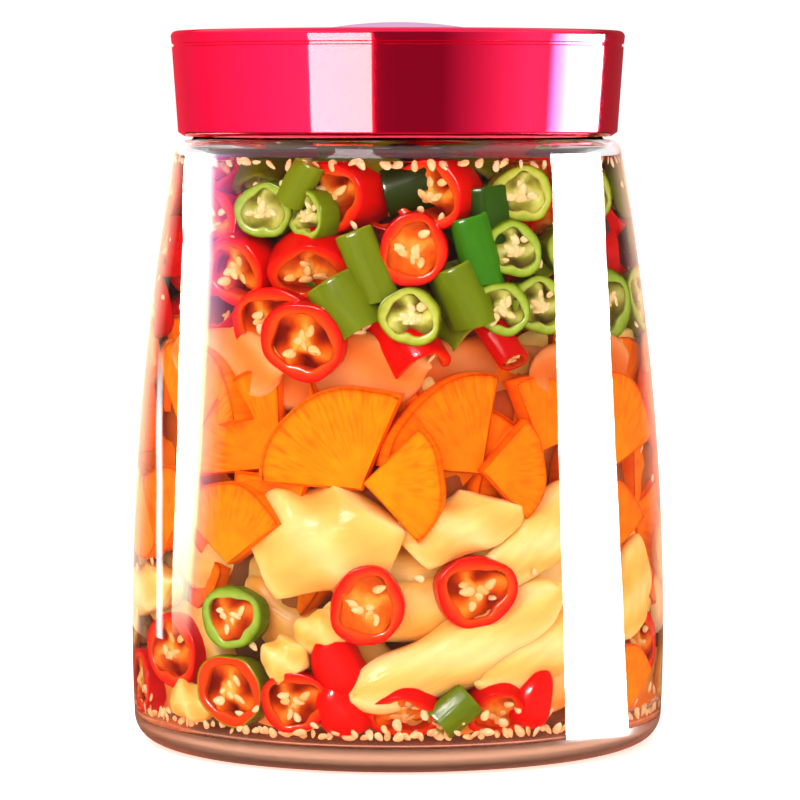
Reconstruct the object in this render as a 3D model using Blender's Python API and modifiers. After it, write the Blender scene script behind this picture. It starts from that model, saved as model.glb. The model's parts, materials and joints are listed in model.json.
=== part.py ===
"""A glass jar of mixed pickles in brine, with a red lid and a soft vent button.

The jar, the lid and the button are turned shapes. The pickles are one heap: a
core with chilli rings, chilli stubs, carrot slices, pale slices and pale
fingers fused on where they lean against the glass. Metres, +Z up, the origin
at the middle of the foot, and the front of the jar towards -Y.
"""

import math
import random

import bmesh
import bpy
from mathutils import Matrix

MM = 0.001

# The glass, outside: a body that is widest low down, a round shoulder, a short neck
WIDEST_RADIUS = 54.1 * MM
WIDEST_HEIGHT = 22.0 * MM
SHOULDER_RADIUS = 45.3 * MM
SHOULDER_HEIGHT = 118.7 * MM
SHOULDER_ROUND = 3.0 * MM
HEEL_ROUND = 5.5 * MM
HEEL_DRAW_IN = 0.4 * MM
LOWER_WALL_POINT = 13.0 * MM
NECK_RADIUS = 41.4 * MM
NECK_CORNER = 0.4 * MM
RIM_HEIGHT = 139.2 * MM
RIM_ROUND = 0.9 * MM
FOOT_INNER_RADIUS = 38.0 * MM
PUNT_RADIUS = 33.0 * MM
PUNT_RISE = 1.6 * MM

# The glass, inside
WALL = 2.8 * MM
FLOOR_HEIGHT = 4.8 * MM
FLOOR_CROWN = 0.8 * MM
FLOOR_ROUND = 5.0 * MM
INNER_SHOULDER_START = 115.5 * MM
INNER_SHOULDER_END = 121.5 * MM
INNER_SHOULDER_ANGLES = (40, 70, 90)

# The lid: a skirt that widens upwards, a groove under its rim, a seat for the button
LID_BOTTOM = 122.3 * MM
LID_TOP = 143.5 * MM
LID_LOWER_RADIUS = 44.4 * MM
LID_UPPER_RADIUS = 45.9 * MM
LID_CORNER_ROUND = 1.2 * MM
LID_CHAMFER_RISE = 0.9 * MM
LID_CHAMFER_RUN = 1.3 * MM
LID_SKIRT = 1.9 * MM
LID_FOOT_RISE = 0.2 * MM
LID_PLATE_UNDERSIDE = 139.6 * MM
GROOVE_HEIGHT = 140.6 * MM
GROOVE_HALF_WIDTH = 0.3 * MM
GROOVE_DEPTH = 0.35 * MM
SEAT_RADIUS = 18.3 * MM
SEAT_FLOOR = 142.3 * MM

# The button: a low soft dome
BUTTON_RADIUS = 18.0 * MM
BUTTON_BOTTOM = 142.6 * MM
BUTTON_EDGE_HEIGHT = 143.4 * MM
BUTTON_EDGE_ROUND = 0.4 * MM
BUTTON_TOP = 145.3 * MM

# The heap of pickles
GAP_TO_GLASS = 0.5 * MM
CORE_INSET = 5.2 * MM
BED_INSET = 1.6 * MM
BED_TOP = 9.0 * MM
BED_EDGE_DROP = 0.6 * MM
HEAP_BOTTOM = 6.1 * MM
HEAP_TOP = 115.5 * MM
HEAP_CROWN = 119.0 * MM
HEAP_CROWN_RADIUS = 30.0 * MM
HEAP_CROWN_DROP = 1.5 * MM
CHILLI_WALL = 2.0 * MM
CHILLI_HOLLOW = 2.2 * MM
HOLLOW_SLOPE = 0.3
STUB_NARROWING = 0.92
STUB_SIDES = 7
CARROT_SIDES = 16
UNEVENNESS = 0.08
UNEVEN_WAVES = (5.0, 3.0)
ENDS_FULLNESS = 0.8
BOW = 0.06
SEED_LENGTH = 3.0 * MM
SEED_WIDTH = 2.2 * MM
SEED_FLATNESS = 0.8
HEAP_SEED = 11
RING_SIDES = 8
SMALL_RING_SIDES = 7
SMALL_RING = 14.0

GLASS_STEPS = 44
LID_STEPS = 44
BUTTON_STEPS = 24
CORE_STEPS = 16
FLAT_ANGLE = math.radians(1.5)

# What leans against the front of the glass. Bearings are degrees from the
# front, minus to the left; heights and sizes are millimetres. Turn, nod and
# roll are degrees about the upright, the level and the outward direction.
# Back is how far a piece lies behind the wall.
# Rings: name, bearing, height, diameter, length, turn, nod, back
FRONT_RINGS = (
    ("green", -38, 107.8, 12.4, 5.5, 14, 0, 0),
    ("red", -16, 110.3, 16.0, 11.0, -22, 0, 0),
    ("green", -23, 107.0, 10.5, 5.0, -28, 0, 0),
    ("red", 12, 111.0, 15.0, 11.0, -32, 0, 0),
    ("green", 36, 111.0, 12.6, 5.5, -18, 0, 0),
    ("green", 31, 100.4, 12.2, 5.5, -14, 0, 0),
    ("green", 27, 89.0, 11.6, 5.5, -18, 0, 0),
    ("green", 38, 89.5, 12.4, 6.0, -12, 0, 1.0),
    ("green", 65, 110.8, 13.0, 6.0, -40, 0, 0),
    ("green", 67, 88.5, 17.0, 7.0, -40, 0, 0),
    ("green", 53, 100.0, 13.0, 6.0, -20, 0, 0.5),
    ("red", -24, 97.2, 16.2, 7.0, 6, 32, 0),
    ("red", -24, 83.0, 16.8, 7.0, 8, 5, 0),
    ("red", -35, 86.0, 16.0, 7.0, 12, 0, 2.2),
    ("red", -47, 96.5, 15.0, 8.0, 10, 12, 0.6),
    ("red", -60, 104.0, 15.0, 8.0, 20, -10, 0.5),
    ("red", 4, 100.4, 14.4, 7.0, -4, 0, 0),
    ("green", 3, 87.8, 12.2, 6.0, -5, 0, 0),
    ("red", -7, 32.3, 15.6, 6.5, 6, 0, 0),
    ("red", 18, 34.9, 15.6, 6.5, -5, 0, 0),
    ("green", -37, 29.4, 14.4, 5.0, 8, 0, 0),
    ("red", -40, 14.6, 15.6, 6.0, 10, 0, 0),
    ("red", -60, 20.6, 16.4, 6.5, 24, 0, 0),
    ("red", -24, 13.4, 13.6, 6.5, 10, 0, 0),
    ("red", 1, 11.0, 14.2, 6.0, 0, 48, 0),
    ("red", 24, 11.4, 12.6, 6.0, -10, 40, 0),
    ("red", 71, 21.5, 15.4, 6.0, -30, 0, 0),
)

# Stubs lying side on: name, bearing, height, width, length, roll, turn, back
FRONT_STUBS = (
    ("green", -27, 113.2, 6.4, 9.0, 30, 0, 0),
    ("green", 4, 111.6, 10.5, 14.0, 80, 0, 2.5),
    ("green", -8, 97.6, 7.4, 14.0, -22, 0, 0),
    ("green", -13, 89.8, 11.0, 12.0, -32, 0, 0),
    ("red", 3, 79.6, 12.0, 13.5, -12, 0, 1.0),
    ("green", 21, 100.2, 8.0, 14.0, -14, 0, 0),
    ("green", 26, 106.0, 8.0, 13.0, -8, 0, 2.0),
    ("green", 17, 91.6, 10.6, 12.5, -24, 0, 0),
    ("red", 26, 81.6, 10.0, 14.0, 24, 0, 0.5),
    ("red", -14, 21.6, 10.2, 14.0, -20, 0, 0),
    ("red", -13, 12.6, 10.0, 12.0, -26, 0, 0),
    ("red", 33, 13.4, 9.0, 12.0, 16, 0, 0),
    ("green", 13, 11.2, 7.6, 8.6, 50, 0, 0),
)

# Carrot slices: bearing and height of the point, radius, middle, spread, back.
# Middle is the direction of the slice from its point, from level right,
# anticlockwise; both it and the spread are degrees.
FRONT_CARROTS = (
    (-8, 56.0, 22.0, 112, 104, 0.8),
    (-7, 57.0, 16.5, -4, 92, 0),
    (4, 59.0, 19.0, 46, 84, 2.6),
    (19, 56.5, 14.5, 18, 100, 0.8),
    (-29, 58.0, 20.0, 140, 92, 1.4),
    (-22, 56.0, 15.0, 215, 78, 2.4),
    (-42, 39.0, 16.0, 88, 116, 0.8),
    (58, 56.0, 20.0, 72, 110, 0.5),
    (54, 38.0, 17.0, 84, 120, 1.0),
    (36, 61.0, 15.0, 66, 90, 1.6),
    (62, 8.6, 13.0, 86, 120, 0.5),
    (-62, 62.0, 20.0, 70, 116, 0.8),
    (-66, 40.0, 17.0, 96, 100, 0.8),
)
CARROT_THICKNESS = 5.0 * MM

# Pale pieces: bearing, height, length, width, thickness, roll, taper, back
FRONT_PALE = (
    (-18, 43.6, 34.0, 25.0, 13.0, -8, 0.12, 0.6),
    (15, 46.6, 28.0, 14.0, 8.0, -16, 0.25, 1.8),
    (15, 23.8, 46.0, 13.6, 11.0, -27, 0.30, 0.6),
    (39, 24.4, 36.0, 12.4, 10.0, -26, 0.25, 0.8),
    (9, 34.4, 42.0, 13.0, 10.0, -20, 0.30, 3.4),
    (34, 44.6, 27.0, 12.0, 8.0, -42, 0.20, 0.8),
    (-26, 21.4, 11.4, 10.0, 7.0, -30, 0.10, 0),
    (-17, 27.4, 12.0, 8.6, 7.0, -20, 0.20, 0),
    (66, 32.0, 22.0, 13.0, 8.0, -60, 0.20, 0.5),
    (-54, 10.8, 14.0, 8.6, 7.0, 12, 0.10, 0),
    (-15, 76.6, 34.0, 15.0, 7.0, -4, 0.05, 2.6),
    (24, 75.6, 32.0, 14.0, 7.0, 6, 0.05, 2.6),
    (-48, 77.6, 30.0, 14.0, 7.0, 4, 0.05, 2.0),
    (52, 76.4, 28.0, 14.0, 7.0, -5, 0.05, 2.0),
)

# The rest of the wall is filled in rows: from this bearing to that one
ROW_START = 82.0
ROW_END = 280.0
RING_ROWS = ((111.4, 0.45), (99.6, 0.40), (87.6, 0.55))
RING_SPACING = 15.4
PALE_SLICE_HEIGHT = 76.4
PALE_SLICE_SPACING = 31.0
CARROT_ROWS = ((57.5, 68), (54.0, 250))
CARROT_SPACING = 27.0
FINGER_ROWS = (43.0, 30.5, 18.5)
FINGER_SPACING = 43.0
LOW_RING_ROWS = (36.5, 13.6)
LOW_RING_SPACING = 37.0
SEED_SPACING = 12.0
SEED_LINE = 7.6


def outer_radius(height):
    """Return the outside radius of the glass body at a height."""
    if height < WIDEST_HEIGHT:
        part = (WIDEST_HEIGHT - height) / (WIDEST_HEIGHT - HEEL_ROUND)
        return WIDEST_RADIUS - HEEL_DRAW_IN * part ** 2
    part = (height - WIDEST_HEIGHT) / (SHOULDER_HEIGHT - WIDEST_HEIGHT)
    return WIDEST_RADIUS - (WIDEST_RADIUS - SHOULDER_RADIUS) * part ** 2


def inner_radius(height):
    """Return the inside radius of the glass at a height, from floor to neck."""
    neck = NECK_RADIUS - WALL
    if height >= INNER_SHOULDER_END:
        return neck
    if height > INNER_SHOULDER_START:
        start = outer_radius(INNER_SHOULDER_START) - WALL
        part = (height - INNER_SHOULDER_START) / (INNER_SHOULDER_END - INNER_SHOULDER_START)
        return neck + (start - neck) * math.sqrt(max(0.0, 1.0 - part ** 2))
    corner = FLOOR_HEIGHT + FLOOR_ROUND
    if height < corner:
        rise = min(FLOOR_ROUND, corner - height)
        flat = outer_radius(corner) - WALL - FLOOR_ROUND
        return flat + math.sqrt(FLOOR_ROUND ** 2 - rise ** 2)
    return outer_radius(height) - WALL


def arc(centre_x, centre_z, radius, start, end, count):
    """Return points of an arc, with angles in degrees from +X."""
    points = []
    for index in range(count + 1):
        angle = math.radians(start + (end - start) * index / count)
        points.append((centre_x + radius * math.cos(angle), centre_z + radius * math.sin(angle)))
    return points


def spread(start, end, count):
    """Return evenly spaced values from start to end, both included."""
    return [start + (end - start) * index / count for index in range(count + 1)]


def make_material(name, colour, roughness, transmission=0.0):
    """Return a Principled material of one colour."""
    material = bpy.data.materials.new(name)
    material.use_nodes = True
    shader = material.node_tree.nodes["Principled BSDF"]
    shader.inputs["Base Color"].default_value = (*colour, 1.0)
    shader.inputs["Roughness"].default_value = roughness
    shader.inputs["Metallic"].default_value = 0.0
    shader.inputs["Transmission Weight"].default_value = transmission
    material.diffuse_color = (*colour, 1.0)
    return material


def make_turned(name, profile, steps, collection):
    """Return an object turned from a profile about +Z by a Screw modifier."""
    mesh = bpy.data.meshes.new(name)
    vertices = [(x, 0.0, z) for x, z in profile]
    edges = [(index, index + 1) for index in range(len(profile) - 1)]
    mesh.from_pydata(vertices, edges, [])
    turned = bpy.data.objects.new(name, mesh)
    collection.objects.link(turned)
    screw = turned.modifiers.new("Turn", 'SCREW')
    screw.axis = 'Z'
    screw.angle = math.tau
    screw.steps = steps
    screw.render_steps = steps
    screw.use_merge_vertices = True
    screw.merge_threshold = 0.00001
    screw.use_smooth_shade = True
    return turned


def make_jar_glass(collection):
    """Return the glass: a thick floor, a curved wall, a round shoulder and a neck."""
    corner = FLOOR_HEIGHT + FLOOR_ROUND
    flat = inner_radius(corner) - FLOOR_ROUND
    neck_inner = NECK_RADIUS - WALL
    profile = [(0.0, FLOOR_HEIGHT + FLOOR_CROWN)]
    profile += arc(flat, corner, FLOOR_ROUND, -90, 0, 3)
    profile += [(inner_radius(z), z) for z in spread(corner, INNER_SHOULDER_START, 5)[1:]]
    shoulder_reach = INNER_SHOULDER_END - INNER_SHOULDER_START
    for angle in INNER_SHOULDER_ANGLES:
        height = INNER_SHOULDER_START + shoulder_reach * math.sin(math.radians(angle))
        profile.append((inner_radius(height), height))
    profile += arc(neck_inner + RIM_ROUND, RIM_HEIGHT - RIM_ROUND, RIM_ROUND, 180, 90, 1)
    profile += arc(NECK_RADIUS - RIM_ROUND, RIM_HEIGHT - RIM_ROUND, RIM_ROUND, 90, 0, 1)
    profile += [(NECK_RADIUS, SHOULDER_HEIGHT + SHOULDER_ROUND + NECK_CORNER)]
    profile += arc(SHOULDER_RADIUS - SHOULDER_ROUND, SHOULDER_HEIGHT, SHOULDER_ROUND, 90, 0, 3)
    profile += [(outer_radius(z), z) for z in spread(SHOULDER_HEIGHT, WIDEST_HEIGHT, 6)[1:]]
    profile += [(outer_radius(LOWER_WALL_POINT), LOWER_WALL_POINT)]
    profile += arc(outer_radius(HEEL_ROUND) - HEEL_ROUND, HEEL_ROUND, HEEL_ROUND, 0, -90, 3)
    profile += [(FOOT_INNER_RADIUS, 0.0), (PUNT_RADIUS, PUNT_RISE), (0.0, PUNT_RISE)]
    glass = make_turned("jar_glass", profile, GLASS_STEPS, collection)
    glass.data.materials.append(make_material("clear glass", (0.95, 0.93, 0.92), 0.03, 1.0))
    return glass


def make_lid(collection):
    """Return the lid: a plate with a seat in it and a skirt down over the neck."""
    slope = (LID_UPPER_RADIUS - LID_LOWER_RADIUS) / (LID_TOP - LID_BOTTOM)

    def skirt(height):
        return LID_LOWER_RADIUS + slope * (height - LID_BOTTOM)

    band_bottom = GROOVE_HEIGHT + GROOVE_HALF_WIDTH
    groove_bottom = GROOVE_HEIGHT - GROOVE_HALF_WIDTH
    chamfer_top = LID_BOTTOM + LID_CHAMFER_RISE
    profile = [(0.0, SEAT_FLOOR), (SEAT_RADIUS, SEAT_FLOOR), (SEAT_RADIUS, LID_TOP)]
    profile += arc(
        LID_UPPER_RADIUS - LID_CORNER_ROUND, LID_TOP - LID_CORNER_ROUND, LID_CORNER_ROUND, 90, 0, 3)
    profile += [
        (skirt(band_bottom), band_bottom),
        (skirt(GROOVE_HEIGHT) - GROOVE_DEPTH, GROOVE_HEIGHT),
        (skirt(groove_bottom), groove_bottom),
        (skirt(chamfer_top), chamfer_top),
        (skirt(LID_BOTTOM) - LID_CHAMFER_RUN, LID_BOTTOM),
        (skirt(LID_BOTTOM) - LID_SKIRT, LID_BOTTOM + LID_FOOT_RISE),
        (skirt(LID_PLATE_UNDERSIDE) - LID_SKIRT, LID_PLATE_UNDERSIDE),
        (0.0, LID_PLATE_UNDERSIDE),
    ]
    lid = make_turned("lid", profile, LID_STEPS, collection)
    lid.data.materials.append(make_material("red gloss plastic", (0.78, 0.01, 0.04), 0.2))
    return lid


def make_lid_button(collection):
    """Return the soft dome that sits in the lid's seat."""
    rise = BUTTON_TOP - BUTTON_EDGE_HEIGHT
    profile = []
    for x in spread(0.0, BUTTON_RADIUS - BUTTON_EDGE_ROUND, 6):
        profile.append((x, BUTTON_EDGE_HEIGHT + rise * (1.0 - (x / BUTTON_RADIUS) ** 2)))
    profile += [
        (BUTTON_RADIUS, BUTTON_EDGE_HEIGHT - BUTTON_EDGE_ROUND),
        (BUTTON_RADIUS, BUTTON_BOTTOM),
        (0.0, BUTTON_BOTTOM),
    ]
    button = make_turned("lid_button", profile, BUTTON_STEPS, collection)
    button.data.materials.append(make_material("pale pink silicone", (0.78, 0.42, 0.62), 0.4))
    return button


def chilli_ring(diameter, length, sides):
    """Return a short round cut of chilli, its cut face to -Y with a hollow in it."""
    shape = bmesh.new()
    facing = Matrix.Rotation(math.radians(90), 4, 'X')
    bmesh.ops.create_cone(
        shape, cap_ends=True, segments=sides, radius1=diameter / 2, radius2=diameter / 2,
        depth=length, matrix=facing)
    shape.faces.ensure_lookup_table()
    shape.normal_update()
    cut_face = min(shape.faces, key=lambda face: face.normal.y)
    bmesh.ops.inset_region(shape, faces=[cut_face], thickness=CHILLI_WALL, depth=0.0)
    bmesh.ops.inset_region(
        shape, faces=[cut_face], thickness=CHILLI_WALL * HOLLOW_SLOPE, depth=-CHILLI_HOLLOW)
    return shape


def chilli_stub(width, length):
    """Return a short length of chilli standing up, so that its skin shows."""
    shape = bmesh.new()
    bmesh.ops.create_cone(
        shape, cap_ends=True, segments=STUB_SIDES, radius1=width / 2,
        radius2=width / 2 * STUB_NARROWING, depth=length)
    return shape


def carrot_slice(radius, middle, spread_angle):
    """Return a wedge of a round slice with its point at the origin."""
    shape = bmesh.new()
    facing = Matrix.Rotation(math.radians(90), 4, 'X')
    bmesh.ops.create_cone(
        shape, cap_ends=True, segments=CARROT_SIDES, radius1=radius, radius2=radius,
        depth=CARROT_THICKNESS, matrix=facing)
    for side in (1, -1):
        angle = math.radians(middle + side * spread_angle / 2)
        away = (-side * math.sin(angle), 0.0, side * math.cos(angle))
        parts = shape.verts[:] + shape.edges[:] + shape.faces[:]
        cut = bmesh.ops.bisect_plane(
            shape, geom=parts, plane_co=(0, 0, 0), plane_no=away, clear_outer=True)
        rim = [part for part in cut["geom_cut"] if isinstance(part, bmesh.types.BMEdge)]
        bmesh.ops.edgenet_fill(shape, edges=rim)
    bmesh.ops.recalc_face_normals(shape, faces=shape.faces)
    return shape


def pale_piece(length, width, thickness, taper):
    """Return a rounded finger or chunk along X, with uneven sides."""
    shape = bmesh.new()
    along = Matrix.Rotation(math.radians(90), 4, 'Y')
    wave_along, wave_up = UNEVEN_WAVES
    bmesh.ops.create_uvsphere(shape, u_segments=6, v_segments=6, radius=1.0, matrix=along)
    for vertex in shape.verts:
        x, y, z = vertex.co
        fuller = math.copysign(abs(x) ** ENDS_FULLNESS, x)
        girth = (1.0 - x * x) ** 0.5
        keep = (1.0 - x ** 4) ** 0.5 / girth if girth > 0.05 else 1.0
        uneven = 1.0 + UNEVENNESS * math.sin(wave_along * x + wave_up * z)
        narrow = (1.0 - taper * x) * uneven
        vertex.co = (
            fuller * length / 2,
            y * keep * narrow * thickness / 2,
            z * keep * narrow * width / 2 + BOW * length * (x * x - 0.4),
        )
    return shape


def seed_shape():
    """Return one small flat seed."""
    shape = bmesh.new()
    bmesh.ops.create_uvsphere(shape, u_segments=5, v_segments=3, radius=0.5)
    for vertex in shape.verts:
        vertex.co.x *= SEED_LENGTH
        vertex.co.y *= SEED_WIDTH * SEED_FLATNESS
        vertex.co.z *= SEED_WIDTH
    return shape


def press_to_glass(shape, height, bearing, turn=0.0, nod=0.0, roll=0.0, back=0.0):
    """Turn a shape to its bearing and push it out until it leans on the glass.

    The shape is made at the origin, facing -Y. Afterwards its outermost point
    is the gap, plus how far back it lies, inside the glass.
    """
    facing = (
        Matrix.Rotation(math.radians(turn), 4, 'Z')
        @ Matrix.Rotation(math.radians(nod), 4, 'X')
        @ Matrix.Rotation(math.radians(roll), 4, 'Y')
    )
    bmesh.ops.transform(shape, matrix=facing, verts=shape.verts)
    low, high = 0.0, WIDEST_RADIUS
    for _ in range(30):
        middle = (low + high) / 2
        clear = all(
            math.hypot(vertex.co.x, vertex.co.y - middle)
            <= inner_radius(min(max(vertex.co.z + height, HEAP_BOTTOM), RIM_HEIGHT)) - GAP_TO_GLASS - back
            for vertex in shape.verts)
        low, high = (middle, high) if clear else (low, middle)
    placed = (
        Matrix.Rotation(math.radians(bearing), 4, 'Z')
        @ Matrix.Translation((0.0, -low, height))
    )
    bmesh.ops.transform(shape, matrix=placed, verts=shape.verts)


def raise_off_floor(shape):
    """Lift a shape so that no point is below the bottom of the heap."""
    lowest = min(vertex.co.z for vertex in shape.verts)
    if lowest < HEAP_BOTTOM:
        bmesh.ops.translate(shape, vec=(0.0, 0.0, HEAP_BOTTOM - lowest), verts=shape.verts)


def row_bearings(spacing, height, shift):
    """Return bearings along the back of the wall, a spacing in millimetres apart."""
    step = math.degrees(spacing * MM / inner_radius(height))
    count = int((ROW_END - ROW_START) / step)
    even = (ROW_END - ROW_START) / count
    return [ROW_START + even * (index + 0.5 + 0.5 * shift) for index in range(count)]


def back_rings(chance):
    """Return rings in rows, red and green mixed, for the back of the jar."""
    rings = []
    for number, (height, green_share) in enumerate(RING_ROWS):
        for bearing in row_bearings(RING_SPACING, height * MM, number % 2):
            name = "green" if chance.random() < green_share else "red"
            diameter = chance.uniform(12.0, 14.0) if name == "green" else chance.uniform(13.6, 16.0)
            rings.append((
                name, bearing + chance.uniform(-1.5, 1.5), height + chance.uniform(-1.6, 1.6),
                diameter, chance.uniform(5.5, 8.5), chance.uniform(-26, 26),
                chance.uniform(-20, 24), chance.choice((0, 0, 0.8))))
    for number, height in enumerate(LOW_RING_ROWS):
        for bearing in row_bearings(LOW_RING_SPACING, height * MM, number % 2):
            rings.append((
                "red", bearing, height + chance.uniform(-1.0, 1.0), chance.uniform(14.0, 15.6),
                6.5, chance.uniform(-24, 24), chance.uniform(-6, 10), 0))
    return rings


def back_carrots(chance):
    """Return carrot slices in two rows, points together, for the back of the jar."""
    slices = []
    for height, middle in CARROT_ROWS:
        for bearing in row_bearings(CARROT_SPACING, height * MM, middle > 180):
            slices.append((
                bearing, height + chance.uniform(-1.5, 1.5), chance.uniform(15.0, 21.0),
                middle + chance.uniform(-16, 30), chance.uniform(78, 112),
                chance.choice((0, 0.8, 1.6))))
    return slices


def back_pale(chance):
    """Return pale slices and fingers in rows, for the back of the jar."""
    pale = []
    for bearing in row_bearings(PALE_SLICE_SPACING, PALE_SLICE_HEIGHT * MM, 0):
        pale.append((
            bearing, PALE_SLICE_HEIGHT + chance.uniform(-1, 1), chance.uniform(28, 33), 14.5, 7.0,
            chance.uniform(-6, 6), 0.05, 2.2))
    for number, height in enumerate(FINGER_ROWS):
        for bearing in row_bearings(FINGER_SPACING, height * MM, number % 2):
            pale.append((
                bearing, height + chance.uniform(-1, 1), chance.uniform(37, 44),
                chance.uniform(12, 14.5), chance.uniform(8.5, 10), chance.uniform(-30, -12),
                chance.uniform(0.1, 0.3), 0.4))
    return pale


def add_piece(shape, name, collection):
    """Put a finished shape in the collection that will be fused."""
    raise_off_floor(shape)
    mesh = bpy.data.meshes.new(name)
    shape.to_mesh(mesh)
    shape.free()
    collection.objects.link(bpy.data.objects.new(name, mesh))


def make_pieces(collection):
    """Make every piece that leans on the glass, all the way round."""
    chance = random.Random(HEAP_SEED)
    for name, bearing, height, diameter, length, turn, nod, back in (
            FRONT_RINGS + tuple(back_rings(chance))):
        sides = SMALL_RING_SIDES if diameter < SMALL_RING else RING_SIDES
        shape = chilli_ring(diameter * MM, length * MM, sides)
        press_to_glass(shape, height * MM, bearing, turn=turn, nod=nod, back=back * MM)
        add_piece(shape, name + " ring", collection)
    for name, bearing, height, width, length, roll, turn, back in FRONT_STUBS:
        shape = chilli_stub(width * MM, length * MM)
        press_to_glass(shape, height * MM, bearing, turn=turn, roll=roll, back=back * MM)
        add_piece(shape, name + " stub", collection)
    for bearing, height, radius, middle, wedge, back in FRONT_CARROTS + tuple(back_carrots(chance)):
        shape = carrot_slice(radius * MM, middle, wedge)
        press_to_glass(shape, height * MM, bearing, back=back * MM)
        add_piece(shape, "carrot slice", collection)
    for bearing, height, length, width, thickness, roll, taper, back in (
            FRONT_PALE + tuple(back_pale(chance))):
        shape = pale_piece(length * MM, width * MM, thickness * MM, taper)
        press_to_glass(shape, height * MM, bearing, roll=roll, back=back * MM)
        add_piece(shape, "pale piece", collection)
    step = math.degrees(SEED_SPACING * MM / inner_radius(SEED_LINE * MM))
    for number in range(int(360 / step)):
        shape = seed_shape()
        press_to_glass(
            shape, (SEED_LINE + chance.uniform(-0.2, 1.2)) * MM, number * step,
            roll=chance.uniform(-40, 40))
        add_piece(shape, "seed", collection)


def keep_largest_part(mesh):
    """Drop loose scraps and fill sealed hollows: keep the one outer surface."""
    shape = bmesh.new()
    shape.from_mesh(mesh)
    bmesh.ops.remove_doubles(shape, verts=shape.verts, dist=0.000002)
    waiting = set(shape.faces)
    parts = []
    while waiting:
        part = {waiting.pop()}
        edge_of_part = list(part)
        while edge_of_part:
            face = edge_of_part.pop()
            for edge in face.edges:
                for neighbour in edge.link_faces:
                    if neighbour in waiting:
                        waiting.discard(neighbour)
                        part.add(neighbour)
                        edge_of_part.append(neighbour)
        parts.append(part)
    outer = max(parts, key=len)
    loose = [face for part in parts if part is not outer for face in part]
    bmesh.ops.delete(shape, geom=loose, context='FACES')
    bmesh.ops.dissolve_limit(
        shape, angle_limit=FLAT_ANGLE, verts=shape.verts, edges=shape.edges)
    bmesh.ops.triangulate(shape, faces=shape.faces)
    shape.to_mesh(mesh)
    shape.free()


def make_pickles(collection, piece_collection):
    """Return the heap: the core with every piece fused on by one union."""
    bed_wall = inner_radius(HEAP_BOTTOM) - GAP_TO_GLASS - BED_INSET
    profile = [(0.0, HEAP_CROWN), (HEAP_CROWN_RADIUS, HEAP_CROWN - HEAP_CROWN_DROP)]
    profile += [(inner_radius(HEAP_TOP) - CORE_INSET, HEAP_TOP)]
    profile += [
        (inner_radius(z) - CORE_INSET, z) for z in spread(HEAP_TOP, BED_TOP, 5)[1:]]
    profile += [
        (bed_wall, BED_TOP - BED_EDGE_DROP),
        (bed_wall, HEAP_BOTTOM),
        (0.0, HEAP_BOTTOM),
    ]
    heap = make_turned("pickles", profile, CORE_STEPS, collection)
    make_pieces(piece_collection)
    fuse = heap.modifiers.new("Fuse the pieces", 'BOOLEAN')
    fuse.operation = 'UNION'
    fuse.operand_type = 'COLLECTION'
    fuse.collection = piece_collection
    fuse.solver = 'EXACT'
    graph = bpy.context.evaluated_depsgraph_get()
    fused = bpy.data.meshes.new_from_object(heap.evaluated_get(graph), depsgraph=graph)
    keep_largest_part(fused)
    heap.modifiers.clear()
    heap.data = fused
    heap.data.name = "pickles"
    for piece in list(piece_collection.objects):
        bpy.data.objects.remove(piece, do_unlink=True)
    bpy.data.collections.remove(piece_collection)
    heap.data.materials.clear()
    heap.data.materials.append(make_material("mixed pickles", (0.9, 0.35, 0.05), 0.35))
    return heap


def main():
    """Clear the scene and make the jar's four pieces."""
    for thing in list(bpy.data.objects):
        bpy.data.objects.remove(thing, do_unlink=True)
    jar = bpy.data.collections.new("Pickle jar")
    bpy.context.scene.collection.children.link(jar)
    loose_pieces = bpy.data.collections.new("Loose pickles")
    bpy.context.scene.collection.children.link(loose_pieces)
    make_jar_glass(jar)
    make_lid(jar)
    make_lid_button(jar)
    make_pickles(jar, loose_pieces)


main()
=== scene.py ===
"""The looks of a shut glass jar of mixed pickles in brine, with a red lid.

The glass, the lid and its soft dome are turned again with fine profiles. The
heap of pickles is made again piece by piece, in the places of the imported
solid: chilli rings and stubs, carrot slices, pale slices and fingers, seeds,
and a core behind them. The brine fills the glass round them.
"""

import json
import logging
import math
import random
from collections.abc import Iterable
from dataclasses import dataclass, field
from enum import Enum

import bpy
import numpy as np
from mathutils import Matrix, Vector

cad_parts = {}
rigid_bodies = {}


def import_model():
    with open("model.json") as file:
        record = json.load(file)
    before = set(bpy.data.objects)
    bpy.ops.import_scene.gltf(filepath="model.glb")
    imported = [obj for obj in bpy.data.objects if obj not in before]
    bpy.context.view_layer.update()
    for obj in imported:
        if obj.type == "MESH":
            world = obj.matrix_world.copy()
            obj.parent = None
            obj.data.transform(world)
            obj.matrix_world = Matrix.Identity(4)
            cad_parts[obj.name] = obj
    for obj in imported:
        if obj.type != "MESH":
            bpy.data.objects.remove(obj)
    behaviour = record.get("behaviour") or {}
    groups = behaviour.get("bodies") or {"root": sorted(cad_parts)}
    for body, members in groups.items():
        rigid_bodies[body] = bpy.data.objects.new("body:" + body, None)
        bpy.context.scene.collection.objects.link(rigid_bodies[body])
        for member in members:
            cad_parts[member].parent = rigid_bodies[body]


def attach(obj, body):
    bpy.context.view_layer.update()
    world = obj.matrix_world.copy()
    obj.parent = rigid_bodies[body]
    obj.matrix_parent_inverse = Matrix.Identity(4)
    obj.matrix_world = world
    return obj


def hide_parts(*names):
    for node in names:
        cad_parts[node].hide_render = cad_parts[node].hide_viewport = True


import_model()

MM = 0.001
BODY = "root"
IMAGE_SIDE = 800
LOG = logging.getLogger("pickle jar")

Thing = bpy.types.Object
Material = bpy.types.Material
Tree = bpy.types.NodeTree
Node = bpy.types.Node
Socket = bpy.types.NodeSocket
Colour = tuple[float, float, float]
Stops = tuple[tuple[float, Colour], ...]
Profile = list[tuple[float, float]]
Faces = list[tuple[int, ...]]

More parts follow.
